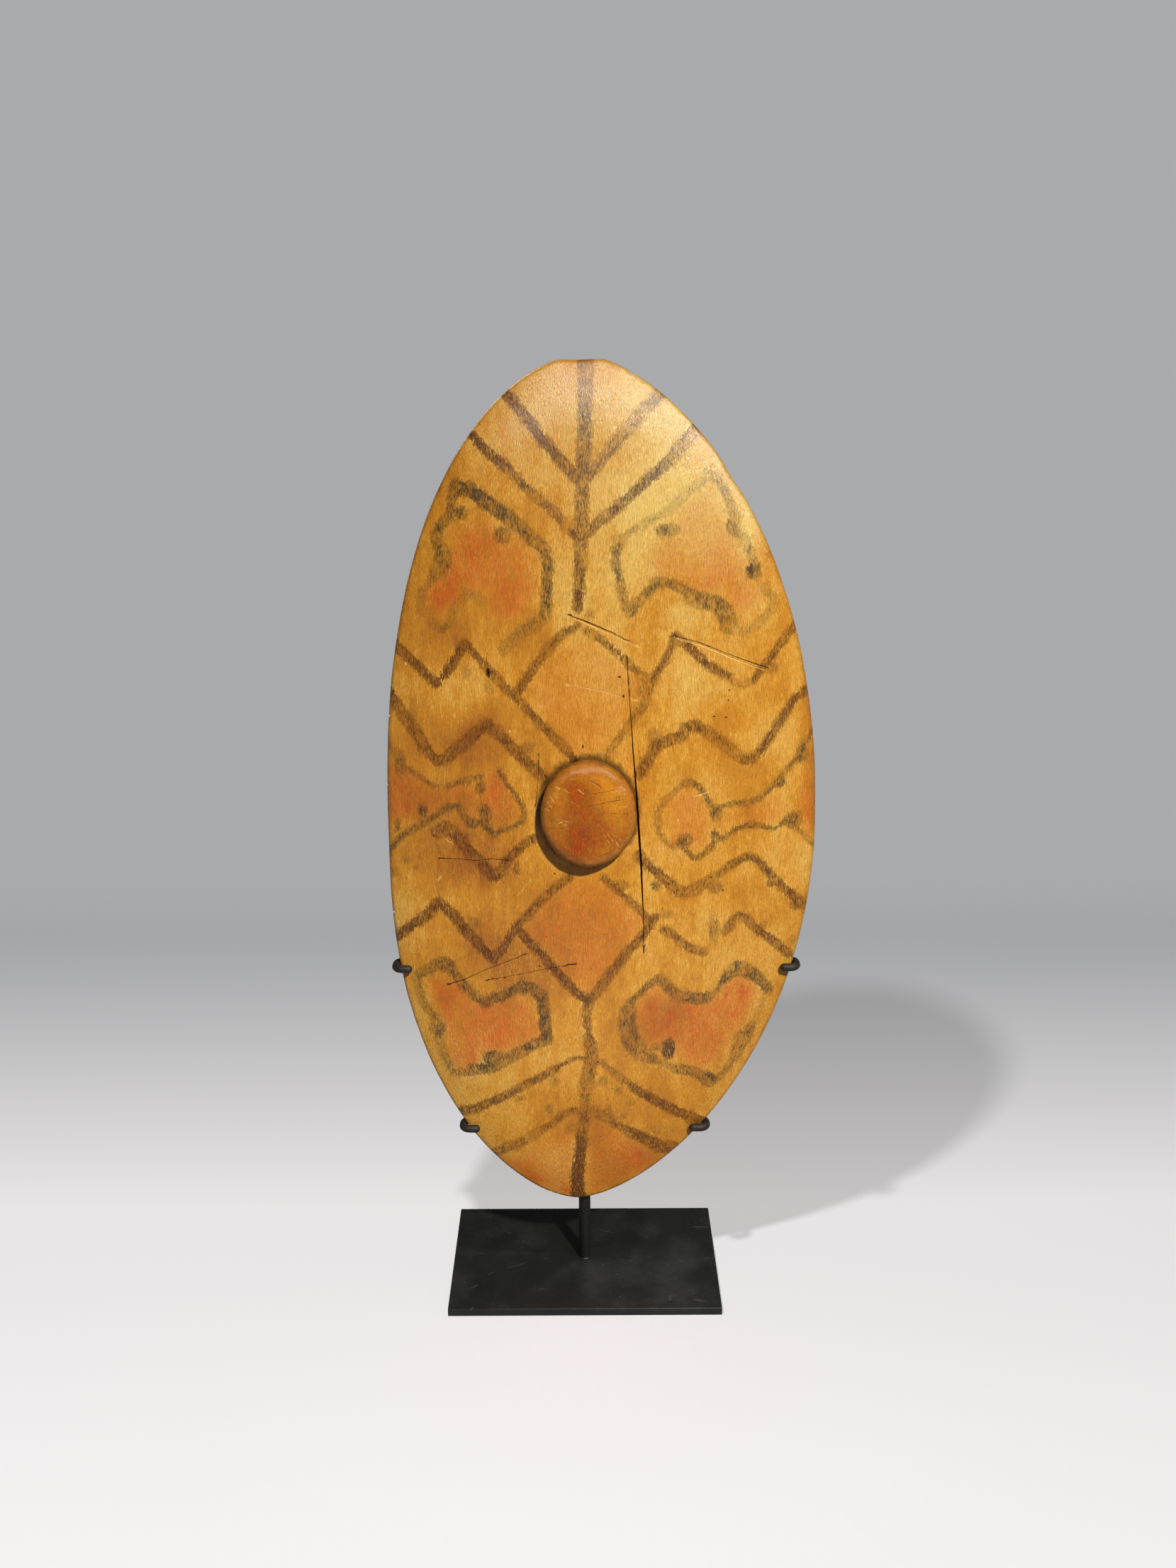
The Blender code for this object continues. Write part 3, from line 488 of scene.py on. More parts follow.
def colour_property(name, description, value):
    return FloatVectorProperty(
        name=name, description=description, default=value, size=3, min=0, max=1, subtype="COLOR"
    )


def power_property(name, description, value):
    return FloatProperty(
        name=name, description=description, default=value, min=0, subtype="POWER", unit="POWER"
    )


def strength_property(name, description, value):
    return FloatProperty(name=name, description=description, default=value, min=0)


def length_property(name, description, value):
    return FloatProperty(
        name=name, description=description, default=value, subtype="DISTANCE", unit="LENGTH"
    )


class CarvingSettings(bpy.types.PropertyGroup):
    edge_wobble: length_property("Edge wobble", "How far the hand-cut edge wanders", 0.0006)
    face_wobble: length_property("Face wobble", "How far the carved face rises and falls", 0.0006)
    adze_depth: length_property("Adze depth", "Depth of the tool hollows on the back", 0.0018)
    boss_wobble: length_property("Boss wobble", "How uneven the worn boss is", 0.0011)
    cut_depth: FloatProperty(
        name="Cut depth", description="Depth of the cuts and gouges, as a share of the real ones",
        default=1.0, min=0.1, max=2.0, subtype="FACTOR",
    )


class PaintSettings(bpy.types.PropertyGroup):
    ochre: colour_property("Ochre", "Yellow ochre of the ground", display(208, 139, 37))
    # Patina is real handling patina, and also painted shade where the tone darkens the left side and the
    # right edge.
    patina_and_shade: colour_property("Patina", "Ground darkened by handling", display(146, 78, 26))
    # Rubbed ground is also a painted sheen where the tone is high at the top right.
    rubbed: colour_property("Rubbed ground", "Ground where the ochre has rubbed thin", display(230, 190, 100))
    brown: colour_property("Brown", "Umber brown of the lines", display(88, 43, 7))
    charcoal: colour_property("Charcoal", "Grey-black of the field outlines", display(62, 44, 22))
    red: colour_property("Red ochre", "Orange-red of the fields", display(200, 92, 30))
    worn: colour_property("Worn wood", "Pale wood in scratches and rubbed fibres", display(236, 192, 108))
    # Grime is real dirt in the pores, and painted shade in cracks, pits, creases and round the boss's foot.
    grime_and_shade: colour_property("Grime", "Dirt in cracks and pores", display(30, 17, 8))
    bare: colour_property("Bare wood", "Unpainted fig wood of the back", display(150, 100, 56))
    boss: colour_property("Boss", "Polished brown of the boss", display(154, 76, 10))
    boss_gold: colour_property("Boss, golden", "Yellower wood of the boss", display(208, 134, 30))
    boss_red: colour_property("Boss, red", "Red paint left on the boss", display(164, 58, 2))
    boss_rim: colour_property("Boss rim", "Paler orange of the boss's rounded rim", display(172, 112, 40))
    boss_nick: colour_property("Boss nick", "Pale wood in the small cuts on the boss", display(214, 156, 70))


class StandSettings(bpy.types.PropertyGroup):
    steel: colour_property("Steel", "Blackened steel", display(24, 25, 24))
    rod_steel: colour_property("Rod steel", "Browner black of the bent rods", display(34, 26, 18))
    dust: colour_property("Dust", "Light dust on the steel", display(150, 148, 140))
    edge_rounding: length_property("Edge rounding", "Rounding of the plate's edges", 0.0009)
    weld_radius: length_property("Weld", "Thickness of the weld round the post's foot", 0.0016)
    rod_sides: IntProperty(name="Rod sides", description="Sides of each round rod", default=24, min=8, max=64)


class StageSettings(bpy.types.PropertyGroup):
    floor: colour_property("Floor", "Pale floor at the stand", display(232, 229, 230))
    front: colour_property("Floor front", "Paler floor towards the viewer", display(240, 240, 240))
    backdrop: colour_property("Backdrop", "Grey that the floor fades into", display(169, 170, 172))
    key_power: power_property("Key", "Power of the lamp in front, above and to the right", 10.15)
    top_power: strength_property("Top light", "Strength of the high light on the stand", 1.2)
    sheen_power: power_property("Sheen", "Power of the narrow lamp that only glosses", 0.55)
    bounce_power: power_property("Bounce", "Power of the light that the floor throws up on the board", 0.55)
    back_power: strength_property("Back light", "Strength of the raking light on the back of the board", 1.5)
    floor_gloss: strength_property("Floor gloss", "Strength of the floor mirrored in the pieces", 0.5)
    fill_power: strength_property("Fill", "Strength of the light from all round", 0.075)
    floor_power: strength_property("Floor light", "Strength of the floor's light that casts shadows", 13.0)
    wash_power: strength_property("Floor wash", "Strength of the floor's light that casts none", 1.97)


# ---- meshes ----


def linked(name, data):
    """A new object with this data, in the scene's own collection."""
    made = bpy.data.objects.new(name, data)
    bpy.context.scene.collection.objects.link(made)
    return made


def finished_mesh(obj):
    """The mesh of an object with its modifiers or its bevel applied."""
    bpy.context.view_layer.update()
    return bpy.data.meshes.new_from_object(obj.evaluated_get(bpy.context.evaluated_depsgraph_get()))


def new_object(name, bm, material=None, turn_out=True):
    """An object of its own from a bmesh, its faces turned outwards unless they already are."""
    if turn_out:
        bmesh.ops.recalc_face_normals(bm, faces=bm.faces)
    mesh = bpy.data.meshes.new(name)
    bm.to_mesh(mesh)
    bm.free()
    if material:
        mesh.materials.append(material)
    return linked(name, mesh)


def shade_round(mesh, sharp_from):
    """Smooth shading, broken where two faces meet at this angle in degrees or more."""
    mesh.shade_smooth()
    mesh.set_sharp_from_angle(angle=math.radians(sharp_from))


def bevel_edges(bm, edges, width, segments):
    bmesh.ops.bevel(
        bm, geom=edges, offset=width, offset_type="OFFSET", segments=segments, profile=0.5,
        affect="EDGES", material=-1,
    )


def spun(bm, profile, steps):
    """Turns a profile, a list of joined edges, once round the upright axis."""
    bmesh.ops.spin(
        bm, geom=profile, cent=(0, 0, 0), axis=(0, 0, 1), angle=2 * math.pi, steps=steps, use_merge=True
    )


def long_edges(bm, axis, length):
    """The edges that run further than this along an axis, 0 to 2."""
    return [e for e in bm.edges if abs((e.verts[0].co - e.verts[1].co)[axis]) > length]


def carve(obj, operation, other):
    """Cuts the other object from this one, or joins it on, and removes the other."""
    modifier = obj.modifiers.new("carve", "BOOLEAN")
    modifier.operation = operation
    modifier.solver = "EXACT"
    modifier.object = other
    before = len(obj.data.vertices)
    result = finished_mesh(obj)
    if len(result.vertices) in (0, before):
        raise RuntimeError(f"{operation} of {other.name} changed nothing on {obj.name}")
    obj.modifiers.clear()
    old, obj.data = obj.data, result
    bpy.data.meshes.remove(old)
    bpy.data.meshes.remove(other.data)


def half_width(side, share):
    """How far the edge stands from the middle line at this share of the half-height, -1 to TOP_CUT."""
    form = SIDES[side]
    if share > form["widest"]:
        fall = (share - form["widest"]) / (TOP_CUT - form["widest"])
        power, fullness = form["above"]
    else:
        fall = (form["widest"] - share) / (1 + form["widest"])
        power, fullness = form["below"]
    return form["half_width"] * max(0.0, 1 - min(fall, 1.0) ** power) ** fullness


def edge_point(angle):
    """The board's edge (x, z) at an angle: 0 to the right, a quarter turn at the top, which is cut flat."""
    share = math.sin(angle)
    if share > 0:
        share *= TOP_CUT
    right = math.cos(angle) >= 0
    x = half_width("right" if right else "left", share)
    lean = TIP_X * max(0.0, -share) ** TIP_LEAN_POWER
    return (x if right else -x) + lean, BOARD_CENTRE_Z + BOARD_HALF_HEIGHT * min(share, 1.0)


def front_thickness(share, inset):
    """The board's thickness at a share of the way out to its rim, and this far in from the rim."""
    shoulder = SHOULDER_RISE * (1 - np.exp(-inset / SHOULDER_WIDTH))
    return EDGE_THICKNESS + shoulder + DOME_RISE * (1 - share * share)


def wander(x, y, z, waves):
    """The sum of smooth waves, each given as (share, size in metres, seed)."""
    return sum(
        share * noise.noise(Vector((x / size + seed, y / size - seed, z / size + 2 * seed)))
        for share, size, seed in waves
    )


def edge_worn_by(x, z, carving):
    """How far the hand-cut edge lies inside the drawn one, with one stretch shaved flat."""
    (x1, z1), (x2, z2) = FLAT_AT_EDGE
    away = math.hypot(x - (x1 + x2) / 2 * MM, z - (z1 + z2) / 2 * MM)
    along = away / (math.hypot(x2 - x1, z2 - z1) * MM)
    shaved = FLAT_DEPTH * math.exp(-((FLAT_FALL * along) ** 4))
    return carving.edge_wobble * wander(x, 0, z, EDGE_WAVES) + shaved


def adze_hollow(x, z):
    """0 on the ridges between two tool marks and 1 in the middle of one, on the back."""
    distances, _ = noise.voronoi(Vector((x / ADZE_WIDTH, 0, z / ADZE_LENGTH)))
    return min(1.0, (distances[1] - distances[0]) * ADZE_RIDGE)


def board_place(u, v, turn, carving):
    """Where a point of the blank lies on the board: u and v cross a square, turn goes front to back."""
    a = u * math.sqrt(1 - v * v / 2)
    b = v * math.sqrt(1 - u * u / 2)
    share = min(1.0, math.hypot(a, b))
    edge_x, edge_z = edge_point(math.atan2(b, a))
    reach_x, reach_z = edge_x - BOSS_X, edge_z - BOSS_Z
    reach = math.hypot(reach_x, reach_z)
    worn = edge_worn_by(edge_x, edge_z, carving) * share**EDGE_WEAR_POWER
    if 0 < turn < 1:
        angle = math.pi * (0.5 - turn)
        share = 1 - (RIM_RADIUS * (1 - math.cos(angle)) + worn) / reach
        y = BACK_Y - RIM_RADIUS * (1 + math.sin(angle))
        return BOSS_X + reach_x * share, y, BOSS_Z + reach_z * share
    share *= 1 - (RIM_RADIUS + worn) / reach
    x, z = BOSS_X + reach_x * share, BOSS_Z + reach_z * share
    if turn == 0:
        inset = max(0.0, reach * (1 - share) - RIM_RADIUS)
        swell = carving.face_wobble * wander(x, 0, z, FACE_WAVES) * min(1.0, inset / FACE_FADE)
        return x, BACK_Y - front_thickness(share, inset) - swell, z
    fade = min(1.0, reach * (1 - share) / BACK_FADE)
    return x, BACK_Y - carving.adze_depth * adze_hollow(x, z) * fade, z


def board_blank(carving):
    """The board from a grid: its rim extruded round to the back, its front cut finer, then laid to shape."""
    bm = bmesh.new()
    bmesh.ops.create_grid(bm, x_segments=GRID_ACROSS, y_segments=GRID_UP, size=1)
    front = bm.faces[:]
    loop = [edge for edge in bm.edges if edge.is_boundary]
    back = bmesh.ops.duplicate(bm, geom=front)["geom"]
    for vert in (item for item in back if isinstance(item, bmesh.types.BMVert)):
        vert.co.z = 1
    for step in range(1, RIM_STEPS + 1):
        made = bmesh.ops.extrude_edge_only(bm, edges=loop)["geom"]
        loop = [item for item in made if isinstance(item, bmesh.types.BMEdge)]
        for vert in (item for item in made if isinstance(item, bmesh.types.BMVert)):
            vert.co.z = step / RIM_STEPS
    bmesh.ops.remove_doubles(bm, verts=bm.verts, dist=MERGE_DISTANCE)
    fine = [edge for edge in bm.edges if all(vert.co.z == 0 for vert in edge.verts)]
    bmesh.ops.subdivide_edges(bm, edges=fine, cuts=1, use_grid_fill=True)
    for vert in bm.verts:
        vert.co = board_place(*vert.co, carving)
    return bm


def boss_profile():
    """(radius, rise) from the crown of the boss out over its rounded rim and down into the board."""
    flat = BOSS_HALF_HEIGHT - BOSS_ROUNDING
    profile = []
    for ring in range(BOSS_RINGS):
        radius = flat * ring / BOSS_RINGS
        profile.append((radius, BOSS_PROUD - BOSS_CROWN * (radius / flat) ** 2))
    for step in range(BOSS_ROUNDING_STEPS + 1):
        turn = math.radians(90 * step / BOSS_ROUNDING_STEPS)
        rise = BOSS_PROUD - BOSS_CROWN - BOSS_ROUNDING * (1 - math.cos(turn))
        profile.append((flat + BOSS_ROUNDING * math.sin(turn), rise))
    foot = BOSS_HALF_HEIGHT - BOSS_FOOT_INSET
    profile += [(foot + out, rise) for out, rise in BOSS_SKIRT]
    return profile + [(foot, -BOSS_ROOT), (0.0, -BOSS_ROOT)]


def boss_form(carving):
    """The boss spun from its profile, pressed to an oval and worn uneven, its root sunk in the board."""
    bm = bmesh.new()
    verts = [bm.verts.new((radius, 0, rise)) for radius, rise in boss_profile()]
    edges = [bm.edges.new(pair) for pair in zip(verts, verts[1:])]
    spun(bm, verts + edges, BOSS_TURNS)
    bmesh.ops.remove_doubles(bm, verts=bm.verts, dist=MERGE_DISTANCE)
    for vert in bm.verts:
        x, z, rise = vert.co.x * BOSS_HALF_WIDTH / BOSS_HALF_HEIGHT, vert.co.y, vert.co.z
        if rise > 0:
            out = 1 + carving.boss_wobble / BOSS_HALF_HEIGHT * wander(x, rise, z, BOSS_SIDE_WAVES)
            x, z = x * out, z * out
            lift = min(1.0, rise / BOSS_PROUD)
            for toward_x, toward_z, distance, slope in BOSS_SHAVED:
                rise -= lift * slope * max(0.0, toward_x * x + toward_z * z - distance * MM)
            rise += lift * carving.boss_wobble * (wander(x, 0, z, BOSS_FACE_WAVES) - 0.5)
        vert.co = (BOSS_X + x, BACK_Y - BOARD_CENTRE_THICKNESS - rise, BOSS_Z + z)
    return new_object("boss_form", bm)


def grip_hollow():
    """The space behind the boss: a tapering pocket with round corners and a softened mouth."""
    bm = bmesh.new()
    block = (HOLLOW_WIDTH, HOLLOW_DEPTH + HOLLOW_MOUTH, HOLLOW_HEIGHT, 1)
    bmesh.ops.create_cube(bm, size=1, matrix=Matrix.Diagonal(block))
    bevel_edges(bm, long_edges(bm, 1, HOLLOW_DEPTH / 2), HOLLOW_CORNER, segments=10)
    for vert in bm.verts:
        if vert.co.y < 0:
            vert.co.x *= 1 - 2 * HOLLOW_TAPER / HOLLOW_WIDTH
            vert.co.z *= 1 - 2 * HOLLOW_TAPER / HOLLOW_HEIGHT
        vert.co.y += (HOLLOW_MOUTH - HOLLOW_DEPTH) / 2
    floor = [e for e in bm.edges if all(v.co.y < -HOLLOW_DEPTH / 2 for v in e.verts)]
    bevel_edges(bm, floor, HOLLOW_FLOOR_ROUNDING, segments=5)
    everything = bm.verts[:] + bm.edges[:] + bm.faces[:]
    bmesh.ops.bisect_plane(bm, geom=everything, plane_co=(0, -HOLLOW_LIP, 0), plane_no=(0, 1, 0))
    for vert in bm.verts:
        if vert.co.y > -HOLLOW_LIP / 2:
            vert.co.x *= HOLLOW_FLARE
            vert.co.z *= HOLLOW_FLARE
    bmesh.ops.translate(bm, verts=bm.verts, vec=(BOSS_X, BACK_Y, BOSS_Z))
    return new_object("grip_hollow", bm)


def hand_bar():
    """The bar left across the hollow, with worn round edges, a little waisted for the hand."""
    bm = bmesh.new()
    length = HOLLOW_HEIGHT + BAR_OVERRUN
    bmesh.ops.create_cube(bm, size=1, matrix=Matrix.Diagonal((BAR_WIDTH, 2 * BAR_DEPTH, length, 1)))
    inner = [edge for edge in long_edges(bm, 2, length / 2) if edge.verts[0].co.y < 0]
    bevel_edges(bm, inner, BAR_ROUNDING, segments=6)
    bmesh.ops.subdivide_edges(bm, edges=long_edges(bm, 2, length / 2), cuts=11)
    for vert in bm.verts:
        vert.co.x *= 1 - BAR_WAIST * math.cos(math.pi * vert.co.z / length) ** 2
    bmesh.ops.translate(bm, verts=bm.verts, vec=(BOSS_X, BACK_Y, BOSS_Z))
    return new_object("hand_bar", bm)


def resampled(path, spacing):
    """Points about this far apart along a path, as an array."""
    path = np.array(path, float)
    run = np.concatenate([[0], np.cumsum(np.hypot(*np.diff(path, axis=0).T))])
    stops = np.linspace(0, run[-1], max(2, int(run[-1] / spacing) + 1))
    return np.stack([np.interp(stops, run, path[:, axis]) for axis in (0, 1)], 1), stops / run[-1]


def width_at(widths, along):
    return np.interp(along, np.linspace(0, 1, len(widths)), widths)


def front_at(tree, x, z):
    """The point of a surface at (x, z) in millimetres, seen from the front."""
    surface = tree.ray_cast(Vector((x * MM, PROBE_Y, z * MM)), Vector((0, 1, 0)))[0]
    if surface is None:
        raise RuntimeError(f"a cut at {x:.0f}, {z:.0f} mm misses the board")
    return surface


def wedge_along(bm, tree, cut, share_of_depth):
    """Adds a wedge that follows the surface: a three-sided rod in stations, each laid along the path."""
    widths, depth, path = cut
    points, shares = resampled(path, CUT_STATION)
    stations = len(points) - 1
    laid = bm.verts.layers.int.get("laid") or bm.verts.layers.int.new("laid")
    rod = bmesh.ops.create_cone(bm, cap_ends=True, segments=3, radius1=1, radius2=1, depth=stations)["verts"]
    edges = {edge for vert in rod for edge in vert.link_edges}
    lengthwise = [e for e in edges if abs(e.verts[0].co.z - e.verts[1].co.z) > 0.5]
    if stations > 1:
        bmesh.ops.subdivide_edges(bm, edges=lengthwise, cuts=stations - 1)
    lift = min(CUT_LIFT[1], CUT_LIFT[0] + depth / 2)
    for vert in (vert for vert in bm.verts if not vert[laid]):
        vert[laid] = 1
        station = round(vert.co.z + stations / 2)
        x, z = points[station]
        ahead = points[min(station + 1, stations)] - points[max(station - 1, 0)]
        side = np.array((-ahead[1], ahead[0])) / np.hypot(*ahead)
        taper = min(1.0, CUT_ENDS + CUT_TAPER * min(shares[station], 1 - shares[station]))
        swayed = Vector((x * CUT_SWAY_PITCH, z * CUT_SWAY_PITCH, CUT_SWAY_SEED))
        sway = CUT_SWAY * noise.noise(swayed)
        width = width_at(widths, shares[station]) * taper
        sunk = depth * taper * share_of_depth
        turn = math.atan2(vert.co.y, vert.co.x)
        corner = round(turn / math.radians(120))
        out = corner * width / 2 * (1 + lift / sunk) + sway
        y = front_at(tree, x, z).y + (-lift if corner else sunk) * MM
        vert.co = ((x + side[0] * out) * MM, y, (z + side[1] * out) * MM)


def roughen(verts, reach, pitches):
    """Moves points of a small cutter by up to this many millimetres, along each (axis, waves a metre)."""
    for vert in verts:
        for axis, pitch in pitches:
            vert.co[axis] += reach * MM * noise.noise(vert.co * pitch)


def pit_in(bm, tree, pit):
    """Adds an oval pit's cutter, a rough ball sunk half its height in the surface."""
    x, z, width, height, depth = pit
    place = Matrix.Translation(front_at(tree, x, z))
    form = Matrix.Diagonal((width / 2 * MM, depth * MM, height / 2 * MM, 1))
    made = bmesh.ops.create_icosphere(bm, subdivisions=2, radius=1, matrix=place @ form)["verts"]
    roughen(made, PIT_ROUGHNESS, PIT_WAVES)


def surface_of(obj):
    mesh = obj.data
    return BVHTree.FromPolygons([v.co for v in mesh.vertices], [f.vertices for f in mesh.polygons])


def cut_marks(obj, tree, cuts, carving):
    """Cuts a list of cracks, gouges or scratches that don't cross each other."""
    bm = bmesh.new()
    for cut in cuts:
        wedge_along(bm, tree, cut, carving.cut_depth)
    carve(obj, "DIFFERENCE", new_object("cut_marks", bm, turn_out=False))


def nick_cutter():
    """Rough pegs that notch the board's edge from front to back."""
    bm = bmesh.new()
    for x, z, radius in EDGE_NICKS:
        place = Matrix.Translation((x * MM, BACK_Y - EDGE_THICKNESS * 0.75, z * MM))
        made = bmesh.ops.create_cone(
            bm, cap_ends=True, segments=9, radius1=radius * MM, radius2=radius * NICK_NARROWS * MM,
            depth=NICK_LENGTH, matrix=place @ Matrix.Rotation(NICK_TILT, 4, "X"),
        )["verts"]
        roughen(made, NICK_ROUGHNESS, NICK_WAVES)
    return new_object("edge_nicks", bm)


def carve_board(carving):
    """The whole carved board: blank, cuts, pits and nicks, then the cut boss and the grip behind it."""
    board = new_object("painted_shield", board_blank(carving))
    surface = surface_of(board)
    for cuts in (GOUGES, SCRATCHES, CRACKS):
        cut_marks(board, surface, cuts, carving)
    bm = bmesh.new()
    for pit in PITS + CHIPS:
        pit_in(bm, surface, pit)
    carve(board, "DIFFERENCE", new_object("pits", bm, turn_out=False))
    carve(board, "DIFFERENCE", nick_cutter())
    boss = boss_form(carving)
    cut_marks(boss, surface_of(boss), BOSS_CUTS + BOSS_CREASES, carving)
    carve(board, "UNION", boss)
    hollow = grip_hollow()
    carve(hollow, "DIFFERENCE", hand_bar())
    carve(board, "DIFFERENCE", hollow)
    shade_round(board.data, sharp_from=32)
    return board


# ---- the painting, as attributes of the carved mesh ----

PAINT_THINS = (0.0030, 0.0056)  # how far behind the face the paint begins and ends to thin out
HOLLOW_DARKENS = (-0.002, -0.010)  # the same for the painted shade deep in the grip hollow, with handling dirt, from the back inwards
BACK_SKIN = 0.003  # how near to the back a point counts as lying on it
PATCH_ALONE = 0.25  # how much of a red patch shows where there is no red field
PIT_STEEPNESS = 1.3
FRONT_DEPTH = 0.010
BOSS_REACH = 1.06
BOSS_STEP = 0.0012
HOLLOW_REACH = 1.1


def leg_distances(points, path):
    """For each leg of a path: every point's distance to it, and how far along the path that is, 0 to 1."""
    path = np.array(path, float)
    legs = np.diff(path, axis=0)
    lengths = np.hypot(legs[:, 0], legs[:, 1])
    run = np.concatenate([[0], np.cumsum(lengths)])
    for start, leg, length, before in zip(path, legs, lengths, run):
        away = points - start
        along = np.clip(away @ leg / length**2, 0, 1)
        distance = np.hypot(*(away - along[:, None] * leg).T)
        yield distance, (before + along * length) / run[-1]


def oval_radius(points, x, z, width, height):
    """How far out each point is from the middle of an oval, 1 on the oval itself."""
    return np.hypot((points[:, 0] - x) / (width / 2), (points[:, 1] - z) / (height / 2))


def pigment_edges(points, strokes, blots):
    """For each leg of a stroke, and each blot: signed distance to its edge in mm, and its strength."""
    for first, last, strength, path in strokes:
        for distance, along in leg_distances(points, path):
            yield distance - (first + (last - first) * along) / 2, strength
    for x, z, width, height, strength in blots:
        yield (oval_radius(points, x, z, width, height) - 1) * min(width, height) / 2, strength


def pigment_field(points, strokes, blots):
    """Signed distance in mm to the nearest painted edge, and how strong the paint is there."""
    nearest = np.full(len(points), PAINT_REACH)
    weight = np.full(len(points), 1e-6)
    total = np.zeros(len(points))
    for edge, strength in pigment_edges(points, strokes, blots):
        nearest = np.minimum(nearest, edge)
        share = np.exp(-np.maximum(edge, -PAINT_CORE) / PAINT_BLEND)
        weight += share
        total += share * strength
    return nearest, total / weight


def inside_distance(points, outline):
    """Signed distance in mm to a closed outline, negative inside."""
    nearest = np.full(len(points), 1e6)
    for distance, _ in leg_distances(points, tuple(outline) + (outline[0],)):
        nearest = np.minimum(nearest, distance)
    corners = np.array(outline, float)
    inside = np.zeros(len(points), bool)
    for (x1, z1), (x2, z2) in zip(corners, np.roll(corners, -1, axis=0)):
        crosses = (z1 > points[:, 1]) != (z2 > points[:, 1])
        if z1 != z2:
            at = x1 + (points[:, 1] - z1) * (x2 - x1) / (z2 - z1)
            inside ^= crosses & (points[:, 0] < at)
    return np.where(inside, -nearest, nearest)


def smooth_step(value, low, high):
    share = np.clip((value - low) / (high - low), 0, 1)
    return share * share * (3 - 2 * share)


def red_field(points):
    """How red the ground is: the painted fields, each with a soft edge, and the patches over them."""
    red = np.zeros(len(points))
    for softness, strength, outline in RED_FIELDS:
        distance = inside_distance(points, outline)
        red = np.maximum(red, strength * (1 - smooth_step(distance, -softness, softness)))
    return red + soft_spots(points, RED_PATCHES) * (PATCH_ALONE + np.minimum(1, red * 2))


def soft_spots(points, spots):
    """The sum of soft round or oval spots: (x, z, reach, strength) or (x, z, width, height, strength)."""
    total = np.zeros(len(points))
    for x, z, *size, strength in spots:
        wide, tall = (side / 2 for side in size) if len(size) == 2 else size * 2
        across, up = points[:, 0] - x, points[:, 1] - z
        total += strength * np.exp(-(across**2 / (2 * wide**2) + up**2 / (2 * tall**2)))
    return total


def cut_share(points, cuts):
    """1 at the bottom of a cut, 0 at its lips and away from it."""
    inside = np.zeros(len(points))
    for widths, _, path in cuts:
        for distance, along in leg_distances(points, path):
            inside = np.maximum(inside, np.clip(1 - distance / (width_at(widths, along) / 2), 0, 1))
    return inside


def pit_share(points, pits):
    """1 on the floor of a pit, 0 at its edge and away from it."""
    inside = np.zeros(len(points))
    for x, z, width, height, _ in pits:
        depth = PIT_STEEPNESS * (1 - oval_radius(points, x, z, width, height))
        inside = np.maximum(inside, np.clip(depth, 0, 1))
    return inside


def reach_to_edge(points):
    """How far the board's edge is from the boss's middle, in the direction of each point, in metres."""
    edge = np.array([edge_point(math.radians(turn / 4)) for turn in range(-720, 720)])
    direction = np.arctan2(edge[:, 1] - BOSS_Z, edge[:, 0] - BOSS_X)
    reach = np.hypot(edge[:, 1] - BOSS_Z, edge[:, 0] - BOSS_X)
    order = np.argsort(direction)
    turn = np.arctan2(points[:, 1] * MM - BOSS_Z, points[:, 0] * MM - BOSS_X)
    return np.interp(turn, direction[order], reach[order], period=2 * math.pi)


def in_hollow(place):
    """Which points lie on the walls or the floor of the grip hollow, or on the bar across it."""
    deep = np.clip((BACK_Y + HOLLOW_MOUTH - place[:, 1]) / (HOLLOW_DEPTH + HOLLOW_MOUTH), 0, 1)
    over_x = np.abs(place[:, 0] - BOSS_X) - HOLLOW_WIDTH / 2 + HOLLOW_TAPER * deep + HOLLOW_CORNER
    over_z = np.abs(place[:, 2] - BOSS_Z) - HOLLOW_HEIGHT / 2 + HOLLOW_TAPER * deep + HOLLOW_CORNER
    beyond = np.hypot(np.maximum(over_x, 0), np.maximum(over_z, 0)) - HOLLOW_CORNER
    return (beyond < MM) & (place[:, 1] > BACK_Y - HOLLOW_DEPTH - MM)


